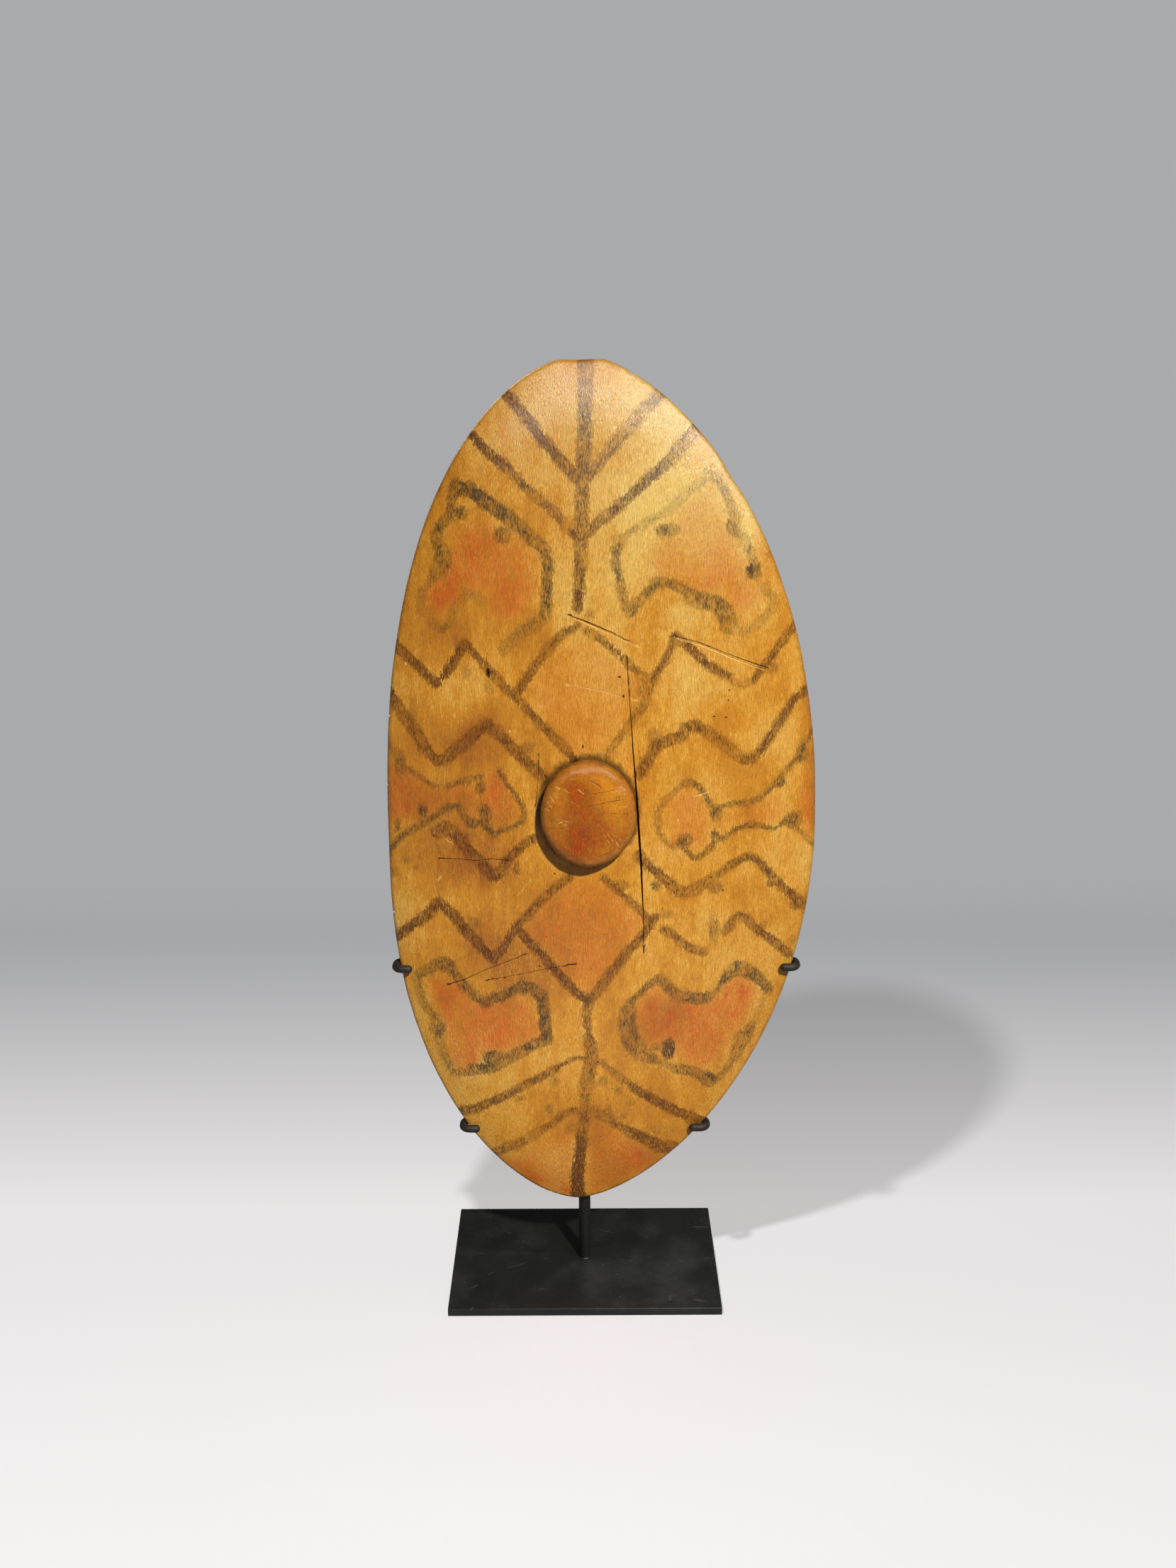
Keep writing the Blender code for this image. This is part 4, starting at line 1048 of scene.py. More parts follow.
def paint_board(mesh):
    """Writes the painting, the wear and the painted light and shade on the carved mesh, as attributes that
    its material reads.
    """
    place = np.zeros(len(mesh.vertices) * 3, np.float32)
    mesh.vertices.foreach_get("co", place)
    place = place.reshape(-1, 3).astype(float)
    points = place[:, (0, 2)] / MM
    reach = reach_to_edge(points)
    distance = np.hypot(place[:, 0] - BOSS_X, place[:, 2] - BOSS_Z)
    share = np.minimum(1, distance / reach)
    inset = np.maximum(0, reach - distance - RIM_RADIUS)
    depth = place[:, 1] - (BACK_Y - front_thickness(share, inset))
    across, up = place[:, 0] - BOSS_X, place[:, 2] - BOSS_Z
    boss_radius = np.hypot(across / BOSS_HALF_WIDTH, up / BOSS_HALF_HEIGHT)
    outside = ~in_hollow(place)
    on_boss = (boss_radius < BOSS_REACH) & (depth < -BOSS_STEP) & outside
    in_front = (depth < FRONT_DEPTH) & outside
    # far_in and tooled place painted shade: deep in the grip hollow, and in the adze hollows of the back.
    far_in = smooth_step(place[:, 1] - BACK_Y, *HOLLOW_DARKENS)
    tooled = [adze_hollow(x, z) if y > BACK_Y - BACK_SKIN else 0.5 for x, y, z in place]
    written = {}
    for pigment, strokes, blots in (
        ("brown", BROWN_STROKES, BROWN_BLOTS), ("charcoal", CHARCOAL_STROKES, CHARCOAL_BLOTS)
    ):
        written[pigment], written[pigment + "_strength"] = pigment_field(points, strokes, blots)
    written |= {
        "red": red_field(points),
        "tone_and_light": soft_spots(points, TONED_AND_LIT_AREAS),
        "boss_red": soft_spots(points, BOSS_PATCHES),
        "painted": (1 - smooth_step(depth, *PAINT_THINS)) * outside,
        "crack": np.maximum(cut_share(points, CRACKS), pit_share(points, PITS)) * in_front,
        "scored": np.maximum(cut_share(points, GOUGES + SCRATCHES), pit_share(points, CHIPS)) * in_front,
        "boss_scored": cut_share(points, BOSS_CUTS) * on_boss,
        "boss_creased": cut_share(points, BOSS_CREASES) * on_boss,
        "on_boss": on_boss,
        "boss_radius": boss_radius,
        "to_edge": (reach - distance) / MM,
        "hollow": far_in * (boss_radius < HOLLOW_REACH) * ~on_boss,
        "tooled": np.array(tooled),
    }
    for name, values in written.items():
        mesh.attributes.new(name, "FLOAT", "POINT").data.foreach_set("value", values.astype(np.float32))


# ---- materials ----


class Graph:
    """Adds nodes to one node tree, joins them as they are added, and keeps masks by name."""

    def __init__(self, tree):
        self.tree = tree
        self.masks = {}

    def feed(self, socket, value):
        """Joins a socket to an output, or gives it a fixed value; a fixed colour is opaque."""
        if isinstance(value, bpy.types.NodeSocket):
            self.tree.links.new(value, socket)
        elif socket.type == "RGBA":
            socket.default_value = (*value, 1)
        else:
            socket.default_value = value

    def node(self, kind, feeds=None, **settings):
        made = self.tree.nodes.new(kind)
        for name, value in settings.items():
            setattr(made, name, value)
        for socket, value in (feeds or {}).items():
            self.feed(made.inputs[socket], value)
        return made

    def group(self, tree, **feeds):
        """Places a node group; speck_size=... feeds its input Speck size."""
        made = self.node("ShaderNodeGroup", node_tree=tree)
        for name, value in feeds.items():
            self.feed(made.inputs[name.replace("_", " ").capitalize()], value)
        return made.outputs

    def math(self, operation, *values):
        return self.node("ShaderNodeMath", dict(enumerate(values)), operation=operation).outputs[0]

    def vector_math(self, operation, *values, output=0, **feeds):
        feeds = {**dict(enumerate(values)), **feeds}
        return self.node("ShaderNodeVectorMath", feeds, operation=operation).outputs[output]

    def add(self, *values):
        return reduce(lambda total, value: self.math("ADD", total, value), values)

    def times(self, *values):
        return reduce(lambda total, value: self.math("MULTIPLY", total, value), values)

    def ramp(self, value, low, high, bottom=0.0, top=1.0, kind="LINEAR"):
        """Bottom up to low, top from high on, and a straight or smooth way between them."""
        feeds = {"Value": value, "From Min": low, "From Max": high, "To Min": bottom, "To Max": top}
        return self.node("ShaderNodeMapRange", feeds, interpolation_type=kind).outputs["Result"]

    def step(self, value, low, high, bottom=0.0, top=1.0):
        return self.ramp(value, low, high, bottom, top, kind="SMOOTHSTEP")

    def mix(self, factor, first, second):
        feeds = {0: factor, 6: first, 7: second}
        return self.node("ShaderNodeMix", feeds, data_type="RGBA").outputs[2]

    def shade(self, colour, value):
        """The colour made darker or lighter by a value round 1."""
        return self.vector_math("SCALE", colour, Scale=value)

    def stretched(self, vector, x, y, z, shift=(0, 0, 0)):
        """The place measured in cells of these sizes in metres."""
        feeds = {"Vector": vector, "Location": shift, "Scale": (1 / x, 1 / y, 1 / z)}
        return self.node("ShaderNodeMapping", feeds).outputs[0]

    def noise(self, vector, detail=2.0, roughness=0.5, scale=1.0):
        """Noise spread out to run from about -1 to 1."""
        feeds = {"Vector": vector, "Scale": scale, "Detail": detail, "Roughness": roughness}
        return self.ramp(self.node("ShaderNodeTexNoise", feeds).outputs[0], 0.3, 0.7, -1.0, 1.0)

    def mask(self, name):
        """A mask kept under this name, or else the mesh's attribute of that name."""
        if name not in self.masks:
            self.masks[name] = self.node("ShaderNodeAttribute", attribute_name=name).outputs["Fac"]
        return self.masks[name]

    def vary(self, total, **weights):
        """A value with named masks added to it, each times its weight."""
        for name, weight in weights.items():
            total = self.math("MULTIPLY_ADD", self.mask(name), weight, total)
        return total

    def bump(self, shader, height, strength, distance):
        feeds = {"Strength": strength, "Distance": distance, "Height": height}
        self.feed(shader.inputs["Normal"], self.node("ShaderNodeBump", feeds).outputs[0])


def new_group(name, inputs, outputs):
    """A shader node group with inputs (name, kind, value) and float outputs: its graph and its ends."""
    tree = bpy.data.node_groups.new(name, "ShaderNodeTree")
    for socket, kind, value in inputs:
        made = tree.interface.new_socket(socket, in_out="INPUT", socket_type=kind)
        if value is not None:
            made.default_value = value
    for socket in outputs:
        tree.interface.new_socket(socket, in_out="OUTPUT", socket_type="NodeSocketFloat")
    start = tree.nodes.new("NodeGroupInput")
    end = tree.nodes.new("NodeGroupOutput")
    return Graph(tree), start.outputs, end.inputs


GRAIN_MASKS = ("Fibres", "Ticks", "Combs", "Bands", "Pores", "Dashes")
FIBRE_PITCH = 0.0005
FIBRE_LENGTH = 0.009


def wood_grain_group():
    """Upright fibres that wander a little, with dark pores and pale rubbed dashes between them."""
    inputs = (
        ("Vector", "NodeSocketVector", None),
        ("Pitch", "NodeSocketFloat", FIBRE_PITCH),
        ("Length", "NodeSocketFloat", FIBRE_LENGTH),
    )
    graph, start, end = new_group("wood grain", inputs, GRAIN_MASKS)
    drift = graph.noise(graph.stretched(start["Vector"], 0.09, 0.09, 0.13), detail=1.0)
    aside = graph.node("ShaderNodeCombineXYZ", {"X": graph.times(drift, 0.003)}).outputs[0]
    place = graph.vector_math("ADD", start["Vector"], aside)
    along = graph.math("DIVIDE", 1.0, start["Length"])
    across = graph.math("DIVIDE", 1.0, start["Pitch"])
    cell = graph.node("ShaderNodeCombineXYZ", {"X": across, "Y": across, "Z": along}).outputs[0]
    fine = graph.vector_math("MULTIPLY", place, cell)
    for name, stretch, shift, detail, roughness in (
        ("Fibres", None, None, 1.0, 0.5),
        ("Ticks", (0.8, 0.8, 0.34), (7, 3, -9), 0.0, 0.5),
        ("Combs", (2.2, 2.2, 0.55), (-3, 8, 5), 1.0, 0.6),
        ("Bands", (16.0, 16.0, 8.0), (0, 0, 0), 2.0, 0.5),
        ("Pores", (1.2, 1.2, 0.25), (40, 0, 11), 1.0, 0.5),
        ("Dashes", (1.0, 1.0, 0.7), (-17, 0, 31), 1.0, 0.5),
    ):
        cells = graph.stretched(fine, *stretch, shift=shift) if stretch else fine
        graph.masks[name] = graph.noise(cells, detail=detail, roughness=roughness)
    for name, low, high in (("Pores", 0.74, 0.98), ("Dashes", 0.55, 0.9)):
        graph.masks[name] = graph.step(graph.masks[name], low, high)
    for name, value in graph.masks.items():
        graph.feed(end[name], value)
    return graph.tree


def marks_group():
    """Dust specks, smudges and fine scratches that handling leaves on a smooth finish."""
    inputs = (
        ("Vector", "NodeSocketVector", None),
        ("Amount", "NodeSocketFloat", 1.0),
        ("Speck size", "NodeSocketFloat", 0.004),
    )
    graph, start, end = new_group("handling marks", inputs, ("Specks", "Smudges", "Scratches"))
    vector, amount = start["Vector"], start["Amount"]
    cells = graph.vector_math("SCALE", vector, Scale=graph.math("DIVIDE", 1.0, start["Speck size"]))
    spots = graph.node("ShaderNodeTexVoronoi", {"Vector": cells, "Scale": 1.0, "Randomness": 1.0}).outputs
    rare = graph.step(spots["Color"], 0.55, 0.60)
    dot = graph.step(spots["Distance"], 0.10, 0.05)
    clustered = graph.step(graph.noise(vector, detail=3.0, scale=28.0), -0.4, 0.8)
    cloud = graph.noise(vector, detail=5.0, roughness=0.6, scale=14.0)
    bent = graph.noise(graph.stretched(vector, 0.22, 0.09, 0.22), detail=1.0)
    broken = graph.step(graph.noise(vector, detail=2.0, scale=60.0), 0.1, 0.6)
    line = graph.step(graph.math("ABSOLUTE", bent), 0.016, 0.006)
    graph.feed(end["Specks"], graph.times(rare, dot, clustered, amount))
    graph.feed(end["Smudges"], graph.times(graph.step(cloud, -0.4, 1.2), amount))
    graph.feed(end["Scratches"], graph.times(line, broken, amount))
    return graph.tree


def shared_group(name, build):
    return bpy.data.node_groups.get(name) or build()


def new_material(name):
    material = bpy.data.materials.new(name)
    material.use_nodes = True
    graph = Graph(material.node_tree)
    shader = material.node_tree.nodes["Principled BSDF"]
    place = graph.node("ShaderNodeTexCoord").outputs["Object"]
    return material, graph, shader, place


def add_wood_masks(graph, place):
    """Keeps the masks and noises that break up every colour of the board, each under its name."""
    grain = shared_group("wood grain", wood_grain_group)
    wood = graph.group(grain, vector=place, pitch=FIBRE_PITCH, length=FIBRE_LENGTH)
    for name in GRAIN_MASKS:
        graph.masks[name.lower()] = wood[name]
    for name, cell, shift, detail, roughness in (
        ("grain_spots", (0.0022, 0.01, 0.0034), (5, 2, 9), 3.0, 0.7),
        ("mottle", (0.011, 0.02, 0.016), (0, 0, 0), 4.0, 0.62),
        ("broad", (0.045, 0.05, 0.07), (3, 1, 7), 3.0, 0.55),
        ("runs", (0.007, 0.02, 0.022), (2, 6, 4), 4.0, 0.65),
        ("flecks", (0.0016, 0.004, 0.0022), (8, 4, 1), 2.0, 0.7),
    ):
        cells = graph.stretched(place, *cell, shift=shift)
        graph.masks[name] = graph.noise(cells, detail=detail, roughness=roughness)


def painted_ground(graph, paint):
    """Yellow ochre, paler where the tone is high and browner where it is low, and the red fields."""
    # The tone is partly painted light: a painted sheen at the top right, and painted shade down the left side
    # and along the right edge.
    tone_and_light = graph.vary(graph.mask("tone_and_light"), broad=0.28, mottle=0.12, bands=0.12, grain_spots=0.07)
    rubbed = graph.ramp(graph.vary(tone_and_light, fibres=0.20, ticks=0.10), -0.12, 1.0)
    ground = graph.mix(rubbed, paint.ochre, paint.rubbed)
    ground = graph.shade(ground, graph.vary(1.0, fibres=0.15, ticks=0.08, combs=0.05, grain_spots=0.03))
    red = graph.times(graph.mask("red"), graph.vary(1.0, mottle=0.45, bands=0.30, combs=0.22))
    pigment = graph.shade(paint.red, graph.vary(1.0, fibres=0.16, ticks=0.08, grain_spots=0.05))
    pigment = graph.mix(graph.step(graph.mask("runs"), 0.1, 0.9, 0.0, 0.5), pigment, paint.boss_red)
    colour = graph.mix(graph.math("MINIMUM", red, 0.85), ground, pigment)
    patina_and_shade = graph.shade(paint.patina_and_shade, graph.vary(1.0, fibres=0.18, ticks=0.10))
    return graph.mix(graph.ramp(tone_and_light, 0.0, -1.0, 0.0, 0.9), colour, patina_and_shade)


def painted_lines(graph, paint, colour):
    """Charcoal and then brown lines with ragged edges, thin where the brush ran dry, then rubbed fibres."""
    ragged = graph.vary(-0.9, combs=2.2, fibres=0.9, mottle=2.0, broad=1.2, grain_spots=0.8)
    for name, pigment, softness in (("charcoal", paint.charcoal, 1.2), ("brown", paint.brown, 0.9)):
        edge = graph.step(graph.add(graph.mask(name), ragged), softness, -softness)
        strength = graph.vary(-1.55, **{name + "_strength": 1.8})
        thickness = graph.vary(strength, combs=0.8, fibres=0.5, mottle=0.75, broad=0.35)
        cover = graph.times(edge, graph.ramp(thickness, -1.1, 0.55, 0.12, 0.95))
        colour = graph.mix(cover, colour, pigment)
    rubbed = graph.times(graph.mask("dashes"), graph.ramp(graph.mask("broad"), -0.8, 0.8, 0.1, 0.5))
    colour = graph.mix(rubbed, colour, paint.worn)
    return graph.mix(graph.times(graph.mask("pores"), 0.6), colour, graph.shade(colour, 0.3))


def boss_wood(graph, paint):
    """The handled wood of the boss: golden and red patches, one golden patch a painted highlight, flecks, a
    paler rim, and a dark foot that is painted shade where it meets the board, with dirt.
    """
    redness = graph.vary(graph.mask("boss_red"), mottle=0.45, broad=0.2, grain_spots=0.2)
    flecks = graph.mask("flecks")
    rim = graph.vary(graph.mask("boss_radius"), mottle=0.07, grain_spots=0.02)
    worked = graph.vary(1.0, mottle=0.26, grain_spots=0.14, flecks=0.05, fibres=0.12, ticks=0.08)
    boss = graph.mix(graph.ramp(redness, 0.0, -1.0), paint.boss, paint.boss_gold)
    boss = graph.mix(graph.ramp(redness, 0.0, 1.0), boss, paint.boss_red)
    boss = graph.mix(graph.step(flecks, 0.45, 1.0, 0.0, 0.3), boss, paint.boss_gold)
    boss = graph.mix(graph.step(flecks, -0.5, -1.1, 0.0, 0.25), boss, paint.boss_red)
    boss = graph.shade(graph.mix(graph.step(rim, 0.80, 0.92, 0.0, 0.6), boss, paint.boss_rim), worked)
    boss = graph.mix(graph.times(graph.mask("dashes"), 0.3), boss, paint.boss_nick)
    boss = graph.mix(graph.times(graph.mask("pores"), 0.7), boss, paint.grime_and_shade)
    # Darker at the boss's foot: painted shade where it meets the board, with dirt.
    return graph.mix(graph.step(rim, 0.98, 1.04, 0.0, 0.5), boss, paint.grime_and_shade)


def bare_wood(graph, paint):
    """The unpainted back, with fibres and dirty pores, tool marks darker in their adze hollows, and darker
    deep in the grip hollow: painted shade in both hollows, with handling dirt in the grip.
    """
    # Darker in the adze hollows of the tool marks: painted shade.
    bare = graph.shade(paint.bare, graph.vary(1.15, tooled=-0.30, fibres=0.16, broad=0.12, bands=0.10))
    bare = graph.mix(graph.times(graph.mask("pores"), 0.5), bare, paint.grime_and_shade)
    # Darker deep in the grip hollow: painted shade in the recess, with handling dirt.
    return graph.mix(graph.mask("hollow"), bare, graph.shade(bare, 0.55))


def cuts_dirt_and_shade(graph, paint, colour):
    """Darker along the board's edge, pale wood in scratches and nicks, and near-black in cracks, pits and
    creases: painted shade in these recesses, with dirt.
    """
    # Darker along the board's edge: a darker copy of the colour near the outline.
    edge_darkening = graph.step(graph.vary(graph.mask("to_edge"), mottle=2.0), 6.0, 1.5, 0.0, 0.35)
    colour = graph.mix(edge_darkening, colour, graph.shade(colour, 0.5))
    scored = graph.times(graph.mask("scored"), graph.vary(0.9, fibres=0.5, ticks=0.4))
    cracked = graph.vary(graph.mask("crack"), mottle=0.08)
    # The dark in cracks, pits and creases is painted shade in these recesses, with dirt; the pale in
    # scratches and nicks is bare wood.
    for cut, low, high, share, shown in (
        (scored, 0.05, 0.5, 0.6, paint.worn),
        (graph.mask("boss_scored"), 0.0, 0.5, 0.8, paint.boss_nick),
        (graph.mask("boss_creased"), 0.1, 0.9, 0.45, paint.grime_and_shade),
        (cracked, 0.05, 0.6, 0.95, paint.grime_and_shade),
    ):
        colour = graph.mix(graph.step(cut, low, high, 0.0, share), colour, shown)
    return colour


def painted_wood(paint):
    """Fig wood under earth pigments, with the boss's handled wood, the bare back, cuts and wear."""
    material, graph, shader, place = new_material("painted_wood")
    add_wood_masks(graph, place)
    on_boss = graph.mask("on_boss")
    colour = painted_lines(graph, paint, painted_ground(graph, paint))
    colour = graph.mix(on_boss, colour, boss_wood(graph, paint))
    # A dark ring on the board round the boss's foot: painted shade in the crease, with dirt.
    foot = graph.step(graph.vary(graph.mask("boss_radius"), mottle=0.05), 1.16, 1.02, 0.0, 0.8)
    colour = graph.mix(graph.times(foot, graph.math("SUBTRACT", 1.0, on_boss)), colour, paint.grime_and_shade)
    colour = graph.mix(graph.mask("painted"), bare_wood(graph, paint), colour)
    graph.feed(shader.inputs["Base Color"], cuts_dirt_and_shade(graph, paint, colour))

    polished = graph.vary(0.53, painted=-0.24, on_boss=-0.05, crack=0.3)
    graph.feed(shader.inputs["Roughness"], graph.vary(polished, fibres=0.05, mottle=0.05, pores=0.15))
    shader.inputs["Specular IOR Level"].default_value = 0.3
    lumps = graph.times(on_boss, graph.vary(0.0, flecks=0.15, grain_spots=0.5))
    height = graph.vary(lumps, fibres=0.45, ticks=0.2, combs=0.2, mottle=0.2, pores=-0.6, dashes=-0.3)
    graph.bump(shader, height, strength=0.30, distance=0.0006)
    return material


def blackened_steel(name, stand, steel, dust, speck_size, roughness):
    """Black finish on steel, a little cloudy and gritty, with light dust and the marks of handling."""
    material, graph, shader, place = new_material(name)
    marks = shared_group("handling marks", marks_group)
    seen = graph.group(marks, vector=place, amount=dust, speck_size=speck_size)
    graph.masks["smudges"] = seen["Smudges"]
    graph.masks["cloud"] = graph.noise(place, detail=4.0, roughness=0.6, scale=22.0)
    colour = graph.shade(steel, graph.vary(1.0, cloud=0.12))
    for mark, share in (("Smudges", 0.05), ("Scratches", 0.12), ("Specks", 0.6)):
        colour = graph.mix(graph.times(seen[mark], share), colour, stand.dust)
    graph.feed(shader.inputs["Base Color"], colour)
    graph.feed(shader.inputs["Roughness"], graph.vary(roughness, cloud=0.04, smudges=0.12))
    shader.inputs["Specular IOR Level"].default_value = 0.38
    graph.bump(shader, graph.noise(place, detail=2.0, scale=1400.0), strength=0.25, distance=0.0002)
    return material


# ---- the stand ----

POST_ROUNDING = 0.0028
ROD_BEND = 0.0078
BEND_STEPS = 9
TIP_TURNS = (86, 72, 58, 44, 30, 15)  # degrees up the dome of a finger tip, from its top down
WELD_RIPPLES = 14
WELD_RIPPLE = 0.05


def finished(obj, node):
    """Declares a piece of the stand or the board: it rides on the root and replaces its solid."""
    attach(obj, "root")
    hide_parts(node)


def rounded_corners(points, radius, steps):
    """The same path with each inner corner turned into an arc of this radius."""
    path = [points[0]]
    for before, corner, after in zip(points, points[1:], points[2:]):
        into = (corner - before).normalized()
        out = (after - corner).normalized()
        half_turn = into.angle(out) / 2
        start = corner - into * radius * math.tan(half_turn)
        centre = start + (out - into * into.dot(out)).normalized() * radius
        for step in range(steps + 1):
            turn = 2 * half_turn * step / steps
            path.append(centre + (start - centre) * math.cos(turn) + into * radius * math.sin(turn))
    return path + [points[-1]]


def hook_corners(verts, rod_radius, back_y, height, right):
    """One end of a rod, read from its solid: finger tip, front corner and back corner."""
    side = 1 if right else -1
    own = [v.co for v in verts if v.co.x * side > 0]
    outer = max(co.x * side for co in own) - rod_radius
    front_y = min(co.y for co in own) + rod_radius
    finger = [co.x * side for co in own if co.y < front_y + 0.5 * rod_radius]
    tip = min(finger) + rod_radius
    places = ((tip, front_y), (outer, front_y), (outer, back_y))
    return [Vector((side * x, y, height)) for x, y in places]


def rod_form(name, node, sides, material):
    """A cradle rod swept along its solid's own middle line, with domed finger tips."""
    low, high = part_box(node)
    radius = (high.z - low.z) / 2
    height = (high.z + low.z) / 2
    back_y = high.y - radius
    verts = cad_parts[node].data.vertices
    left, right = (hook_corners(verts, radius, back_y, height, right) for right in (False, True))
    path = rounded_corners(left + right[::-1], ROD_BEND, BEND_STEPS)
    tips = []
    for end, inner in ((path[0], path[1]), (path[-1], path[-2])):
        out = (end - inner).normalized()
        turns = [math.radians(turn) for turn in TIP_TURNS]
        tips.append([(end + out * radius * math.sin(turn), math.cos(turn)) for turn in turns])
    spine = tips[0] + [(place, 1.0) for place in path] + tips[1][::-1]
    curve = bpy.data.curves.new(name, "CURVE")
    curve.dimensions = "3D"
    curve.bevel_depth = radius
    curve.bevel_resolution = sides // 4 - 1
    curve.use_fill_caps = True
    spline = curve.splines.new("POLY")
    spline.points.add(len(spine) - 1)
    for point, (place, share) in zip(spline.points, spine):
        point.co = (*place, 1)
        point.radius = share
    guide = linked(name, curve)
    mesh = finished_mesh(guide)
    bpy.data.objects.remove(guide)
    bm = bmesh.new()
    bm.from_mesh(mesh)
    bpy.data.meshes.remove(mesh)
    bmesh.ops.remove_doubles(bm, verts=bm.verts, dist=MERGE_DISTANCE / 10)
    made = new_object(name, bm, material)
    shade_round(made.data, sharp_from=50)
    finished(made, node)


def plate_form(stand, material):
    """The plate with softened edges."""
    low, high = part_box("base_plate")
    size, middle = high - low, (high + low) / 2
    bm = bmesh.new()
    bmesh.ops.create_cube(bm, size=1, matrix=Matrix.Translation(middle) @ Matrix.Diagonal((*size, 1)))
    bevel_edges(bm, bm.edges[:], stand.edge_rounding, segments=3)
    made = new_object("stand_plate", bm, material)
    shade_round(made.data, sharp_from=35)
    finished(made, "base_plate")


def post_form(stand, material):
    """The post with a domed top, and the weld bead that joins it to the plate."""
    low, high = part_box("post")
    radius = (high.x - low.x) / 2
    bm = bmesh.new()
    bmesh.ops.create_cone(
        bm, cap_ends=True, segments=48, radius1=radius, radius2=radius, depth=high.z - low.z,
        matrix=Matrix.Translation((low + high) / 2),
    )
    top = [e for e in bm.edges if all(v.co.z > high.z - MM for v in e.verts)]
    bevel_edges(bm, top, POST_ROUNDING, segments=5)
    profile = [bm.verts.new(place) for place in weld_profile(radius, stand.weld_radius, low.z)]
    edges = [bm.edges.new(pair) for pair in zip(profile, profile[1:] + profile[:1])]
    spun(bm, profile + edges, steps=64)
    for vert in bm.verts:
        around = math.hypot(vert.co.x, vert.co.y)
        if around > radius * 1.02 and vert.co.z < low.z + 2 * stand.weld_radius:
            wave = math.sin(WELD_RIPPLES * math.atan2(vert.co.y, vert.co.x))
            ripple = 1 + WELD_RIPPLE * wave * (around / radius - 1)
            vert.co.x *= ripple
            vert.co.y *= ripple
    made = new_object("stand_post", bm, material)
    shade_round(made.data, sharp_from=40)
    finished(made, "post")


def weld_profile(radius, bead, foot):
    """A concave fillet's section: up the post, out along the plate, and back under it."""
    inner = radius - 0.2 * MM
    section = [(inner, 0, foot)]
    for step in range(6):
        turn = math.radians(90 * step / 5)
        section.append((radius + bead * (1 - math.sin(turn)), 0, foot + bead * (1 - math.cos(turn))))
    return section + [(inner, 0, foot + bead)]


# ---- stage ----

LIGHT_COLOUR = (1.0, 0.985, 0.95)
FLOOR_RADIUS = 12
FLOOR_FADE = (1.02, 0.12)  # y where the floor is all backdrop, and where it is all itself
FLOOR_FADE_POWER = 1.5
FRONT_FADE = (0.05, -0.55)  # y between which the front's colour takes over
GLOW_BEHIND = (0.9, 1.3)  # y between which the floor turns to plain backdrop
GLOW_AWAY = (1.9, 3.2)  # the same, by the distance from the stand
BOSS_FACE = Vector((BOSS_X, BOARD_LOW.y, BOSS_Z))
KEY_AT = BOSS_FACE + Vector((1.24, -2.90, 2.59))
KEY_AIM = BOSS_FACE - Vector((0, 0, 0.14))
SHEEN_AIM = Vector((0.115, BOARD_LOW.y, 0.975))
SHEEN_AT = SHEEN_AIM + Vector((0.33, -1.24, 0.38))
BOUNCE_AT = (0.10, -0.42, 0.01)
BOUNCE_AIM = (0.05, 0, 0.2)
FLOOR_LAMP_AT = (-0.42, -0.77, 1.98)
TOP_FROM = (0.42, -0.30, 1.0)
BACK_FROM = (-0.7, 0.8, 0.6)
WHITE = (1, 1, 1)
CAMERA_AT = (0.0004, -1.573, 1.055)
CAMERA_TILT = 16.88
CAMERA_ROLL = -0.18
CAMERA_YAW = -0.18
LENS = 36
SENSOR = 36


def fading_floor(stage):
    """A pale floor that fades to the backdrop's grey, and that gives the pieces only the fill light."""
    material, graph, shader, place = new_material("studio_floor")
    back = graph.node("ShaderNodeSeparateXYZ", {"Vector": place}).outputs["Y"]
    near = graph.math("POWER", graph.ramp(back, *FLOOR_FADE), FLOOR_FADE_POWER)
    pale = graph.mix(near, stage.backdrop, stage.floor)
    pale = graph.mix(graph.step(back, *FRONT_FADE), pale, stage.front)
    graph.feed(shader.inputs["Base Color"], pale)
    shader.inputs["Roughness"].default_value = 0.9
    shader.inputs["Specular IOR Level"].default_value = 0.0
    away = graph.vector_math("LENGTH", place, output="Value")
    far = graph.math("MAXIMUM", graph.step(back, *GLOW_BEHIND), graph.step(away, *GLOW_AWAY))
    glow = graph.node("ShaderNodeEmission", {"Color": stage.backdrop, "Strength": 1.0}).outputs[0]
    seen = graph.node("ShaderNodeMixShader", {0: far, 1: shader.outputs[0], 2: glow}).outputs[0]
    rays = graph.node("ShaderNodeLightPath").outputs
    given = graph.ramp(rays["Is Glossy Ray"], 0.0, 1.0, stage.fill_power, stage.floor_gloss)
    bounce = graph.node("ShaderNodeEmission", {"Color": WHITE, "Strength": given}).outputs[0]
    output = next(n for n in graph.tree.nodes if n.type == "OUTPUT_MATERIAL")
    mixed = graph.node("ShaderNodeMixShader", {0: rays["Is Camera Ray"], 1: bounce, 2: seen}).outputs[0]
    graph.feed(output.inputs["Surface"], mixed)
    return material


def new_light(name, kind, place, power, receivers, target=(0, 0, 0), **settings):
    """A light from this place on these objects alone; the others still throw shadows on them."""
    light = bpy.data.lights.new(name, kind)
    light.energy = power
    light.color = LIGHT_COLOUR
    for setting, value in settings.items():
        setattr(light, setting, value)
    made = linked(name, light)
    made.location = place
    made.visible_camera = False
    made.rotation_euler = (Vector(place) - Vector(target)).to_track_quat("Z", "Y").to_euler()
    lit = bpy.data.collections.new("lit_by_" + name)
    for obj in receivers:
        lit.objects.link(obj)
    made.light_linking.receiver_collection = lit
    return made


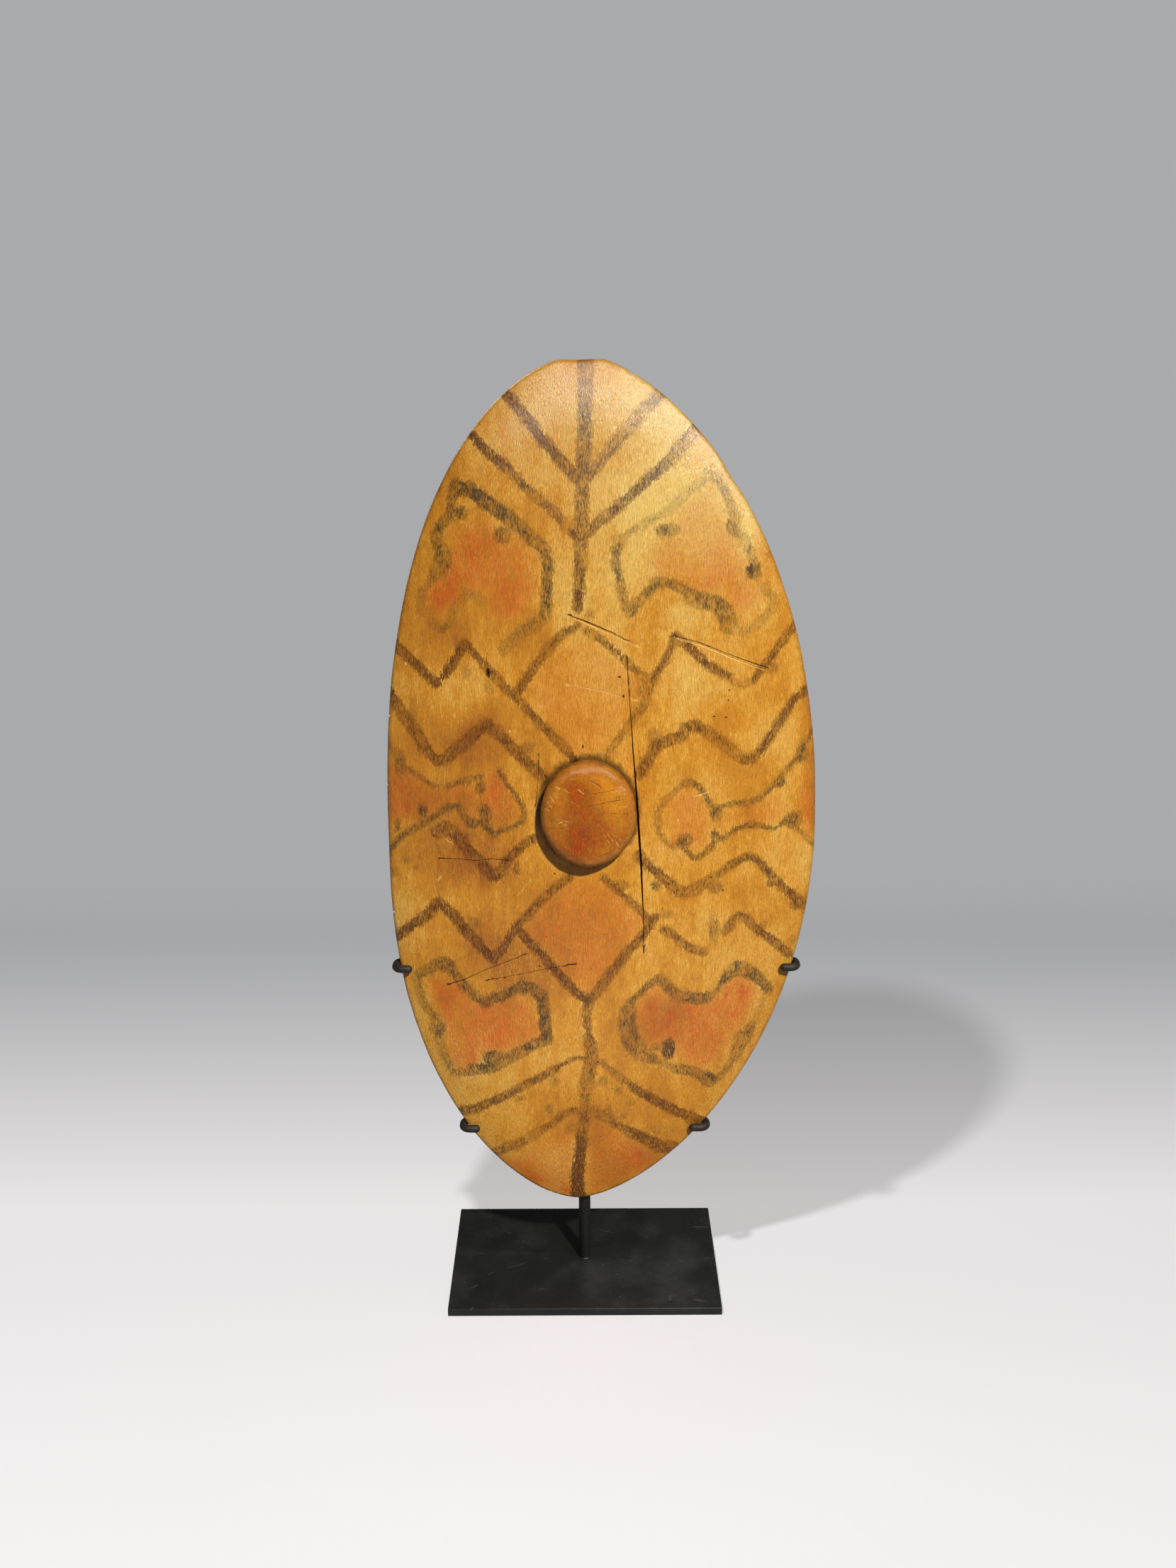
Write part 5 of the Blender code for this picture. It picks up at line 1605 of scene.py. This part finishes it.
def set_lights(stage, floor, pieces):
    """The lamps, each on what it lights, and the even light of the room."""
    board = [piece for piece in pieces if piece.name == "painted_shield"]
    stand = [piece for piece in pieces if piece not in board]
    new_light(
        "key", "AREA", KEY_AT, stage.key_power, pieces, target=KEY_AIM, shape="DISK", size=0.21,
        spread=math.radians(40),
    )
    new_light("top", "SUN", TOP_FROM, stage.top_power, stand, angle=math.radians(2.5))
    sheen = new_light(
        "sheen", "AREA", SHEEN_AT, stage.sheen_power, pieces, target=SHEEN_AIM, size=0.14,
        spread=math.radians(20),
    )
    sheen.visible_diffuse = False
    new_light(
        "bounce", "AREA", BOUNCE_AT, stage.bounce_power, board, target=BOUNCE_AIM, shape="DISK", size=0.5
    )
    new_light("back", "SUN", BACK_FROM, stage.back_power, board, angle=math.radians(3))
    new_light("wash", "SUN", (0, 0, 1), stage.wash_power, [floor], color=WHITE, use_shadow=False)
    lamp = new_light("floor", "POINT", FLOOR_LAMP_AT, 1.0, [floor], color=WHITE, shadow_soft_size=0.05)
    lamp.data.use_nodes = True
    graph = Graph(lamp.data.node_tree)
    even = graph.node("ShaderNodeLightFalloff", {"Strength": stage.floor_power}).outputs["Constant"]
    graph.feed(lamp.data.node_tree.nodes["Emission"].inputs["Strength"], even)

    world = bpy.data.worlds.new("studio")
    bpy.context.scene.world = world
    world.use_nodes = True
    graph = Graph(world.node_tree)
    camera_ray = graph.node("ShaderNodeLightPath").outputs["Is Camera Ray"]
    shown = graph.mix(camera_ray, (stage.fill_power,) * 3, stage.backdrop)
    graph.feed(world.node_tree.nodes["Background"].inputs["Color"], shown)


def set_camera():
    """The camera in front of the stand, a little above the shield and tilted down to it."""
    camera = bpy.data.cameras.new("camera")
    camera.lens = LENS
    camera.sensor_width = SENSOR
    camera.clip_end = 50
    made = linked("camera", camera)
    made.location = CAMERA_AT
    pitch, roll, yaw = (math.radians(turn) for turn in (90 - CAMERA_TILT, CAMERA_ROLL, CAMERA_YAW))
    turned = Matrix.Rotation(yaw, 4, "Z") @ Matrix.Rotation(pitch, 4, "X") @ Matrix.Rotation(roll, 4, "Z")
    made.rotation_euler = turned.to_euler()
    bpy.context.scene.camera = made
    bpy.context.scene.view_settings.view_transform = "Standard"


# ---- operators, panel and the run ----


def settings(context):
    return context.scene.rainforest_shield


class SHIELD_OT_board(bpy.types.Operator):
    """Carve the board with its boss and hand grip, cut its wear into it and paint it"""

    bl_idname = "rainforest_shield.board"
    bl_label = "Carve and Paint Shield"

    def execute(self, context):
        chosen = settings(context)
        board = carve_board(chosen.carving)
        paint_board(board.data)
        board.data.materials.clear()
        board.data.materials.append(painted_wood(chosen.paint))
        finished(board, "shield")
        return {"FINISHED"}


class SHIELD_OT_plate(bpy.types.Operator):
    """Make the stand's base plate"""

    bl_idname = "rainforest_shield.plate"
    bl_label = "Make Base Plate"

    def execute(self, context):
        stand = settings(context).stand
        steel = blackened_steel(
            "plate_steel", stand, stand.steel, dust=1.0, speck_size=0.006, roughness=0.42
        )
        plate_form(stand, steel)
        return {"FINISHED"}


class SHIELD_OT_post(bpy.types.Operator):
    """Make the stand's post and the weld at its foot"""

    bl_idname = "rainforest_shield.post"
    bl_label = "Make Post"

    def execute(self, context):
        stand = settings(context).stand
        steel = blackened_steel(
            "post_steel", stand, stand.steel, dust=0.5, speck_size=0.004, roughness=0.40
        )
        post_form(stand, steel)
        return {"FINISHED"}


class SHIELD_OT_rods(bpy.types.Operator):
    """Bend the two cradle rods that hold the shield's edge"""

    bl_idname = "rainforest_shield.rods"
    bl_label = "Bend Cradle Rods"

    def execute(self, context):
        stand = settings(context).stand
        steel = blackened_steel(
            "rod_steel", stand, stand.rod_steel, dust=0.4, speck_size=0.003, roughness=0.58
        )
        for node in ("upper_cradle_rod", "lower_cradle_rod"):
            rod_form("bent_" + node, node, stand.rod_sides, steel)
        return {"FINISHED"}


class SHIELD_OT_stage(bpy.types.Operator):
    """Lay the floor and set the lights and the camera"""

    bl_idname = "rainforest_shield.stage"
    bl_label = "Set Stage"

    def execute(self, context):
        stage = settings(context).stage
        pieces = [obj for obj in context.scene.objects if obj.type == "MESH"]
        bm = bmesh.new()
        bmesh.ops.create_circle(bm, cap_ends=True, segments=96, radius=FLOOR_RADIUS)
        floor = new_object("studio_floor", bm, fading_floor(stage))
        set_lights(stage, floor, pieces)
        set_camera()
        return {"FINISHED"}


STEPS = (SHIELD_OT_board, SHIELD_OT_plate, SHIELD_OT_post, SHIELD_OT_rods, SHIELD_OT_stage)


class ShieldSettings(bpy.types.PropertyGroup):
    carving: PointerProperty(type=CarvingSettings)
    paint: PointerProperty(type=PaintSettings)
    stand: PointerProperty(type=StandSettings)
    stage: PointerProperty(type=StageSettings)


class SHIELD_PT_panel(bpy.types.Panel):
    """Lists the making steps and their settings"""

    bl_idname = "SHIELD_PT_panel"
    bl_label = "Rainforest Shield"
    bl_space_type = "VIEW_3D"
    bl_region_type = "UI"
    bl_category = "Shield"

    def draw(self, context):
        for step in STEPS:
            self.layout.operator(step.bl_idname)
        for name in ("carving", "paint", "stand", "stage"):
            group = getattr(settings(context), name)
            box = self.layout.box()
            box.label(text=name.capitalize())
            for key in group.bl_rna.properties.keys():
                if key not in ("rna_type", "name"):
                    box.prop(group, key)


CLASSES = (
    CarvingSettings, PaintSettings, StandSettings, StageSettings, ShieldSettings, *STEPS, SHIELD_PT_panel
)


def register():
    for cls in CLASSES:
        bpy.utils.register_class(cls)
    bpy.types.Scene.rainforest_shield = PointerProperty(type=ShieldSettings)


def unregister():
    del bpy.types.Scene.rainforest_shield
    for cls in reversed(CLASSES):
        bpy.utils.unregister_class(cls)


def main():
    register()
    bpy.ops.rainforest_shield.board()
    bpy.ops.rainforest_shield.plate()
    bpy.ops.rainforest_shield.post()
    bpy.ops.rainforest_shield.rods()
    bpy.ops.rainforest_shield.stage()


if __name__ == "__main__":
    main()
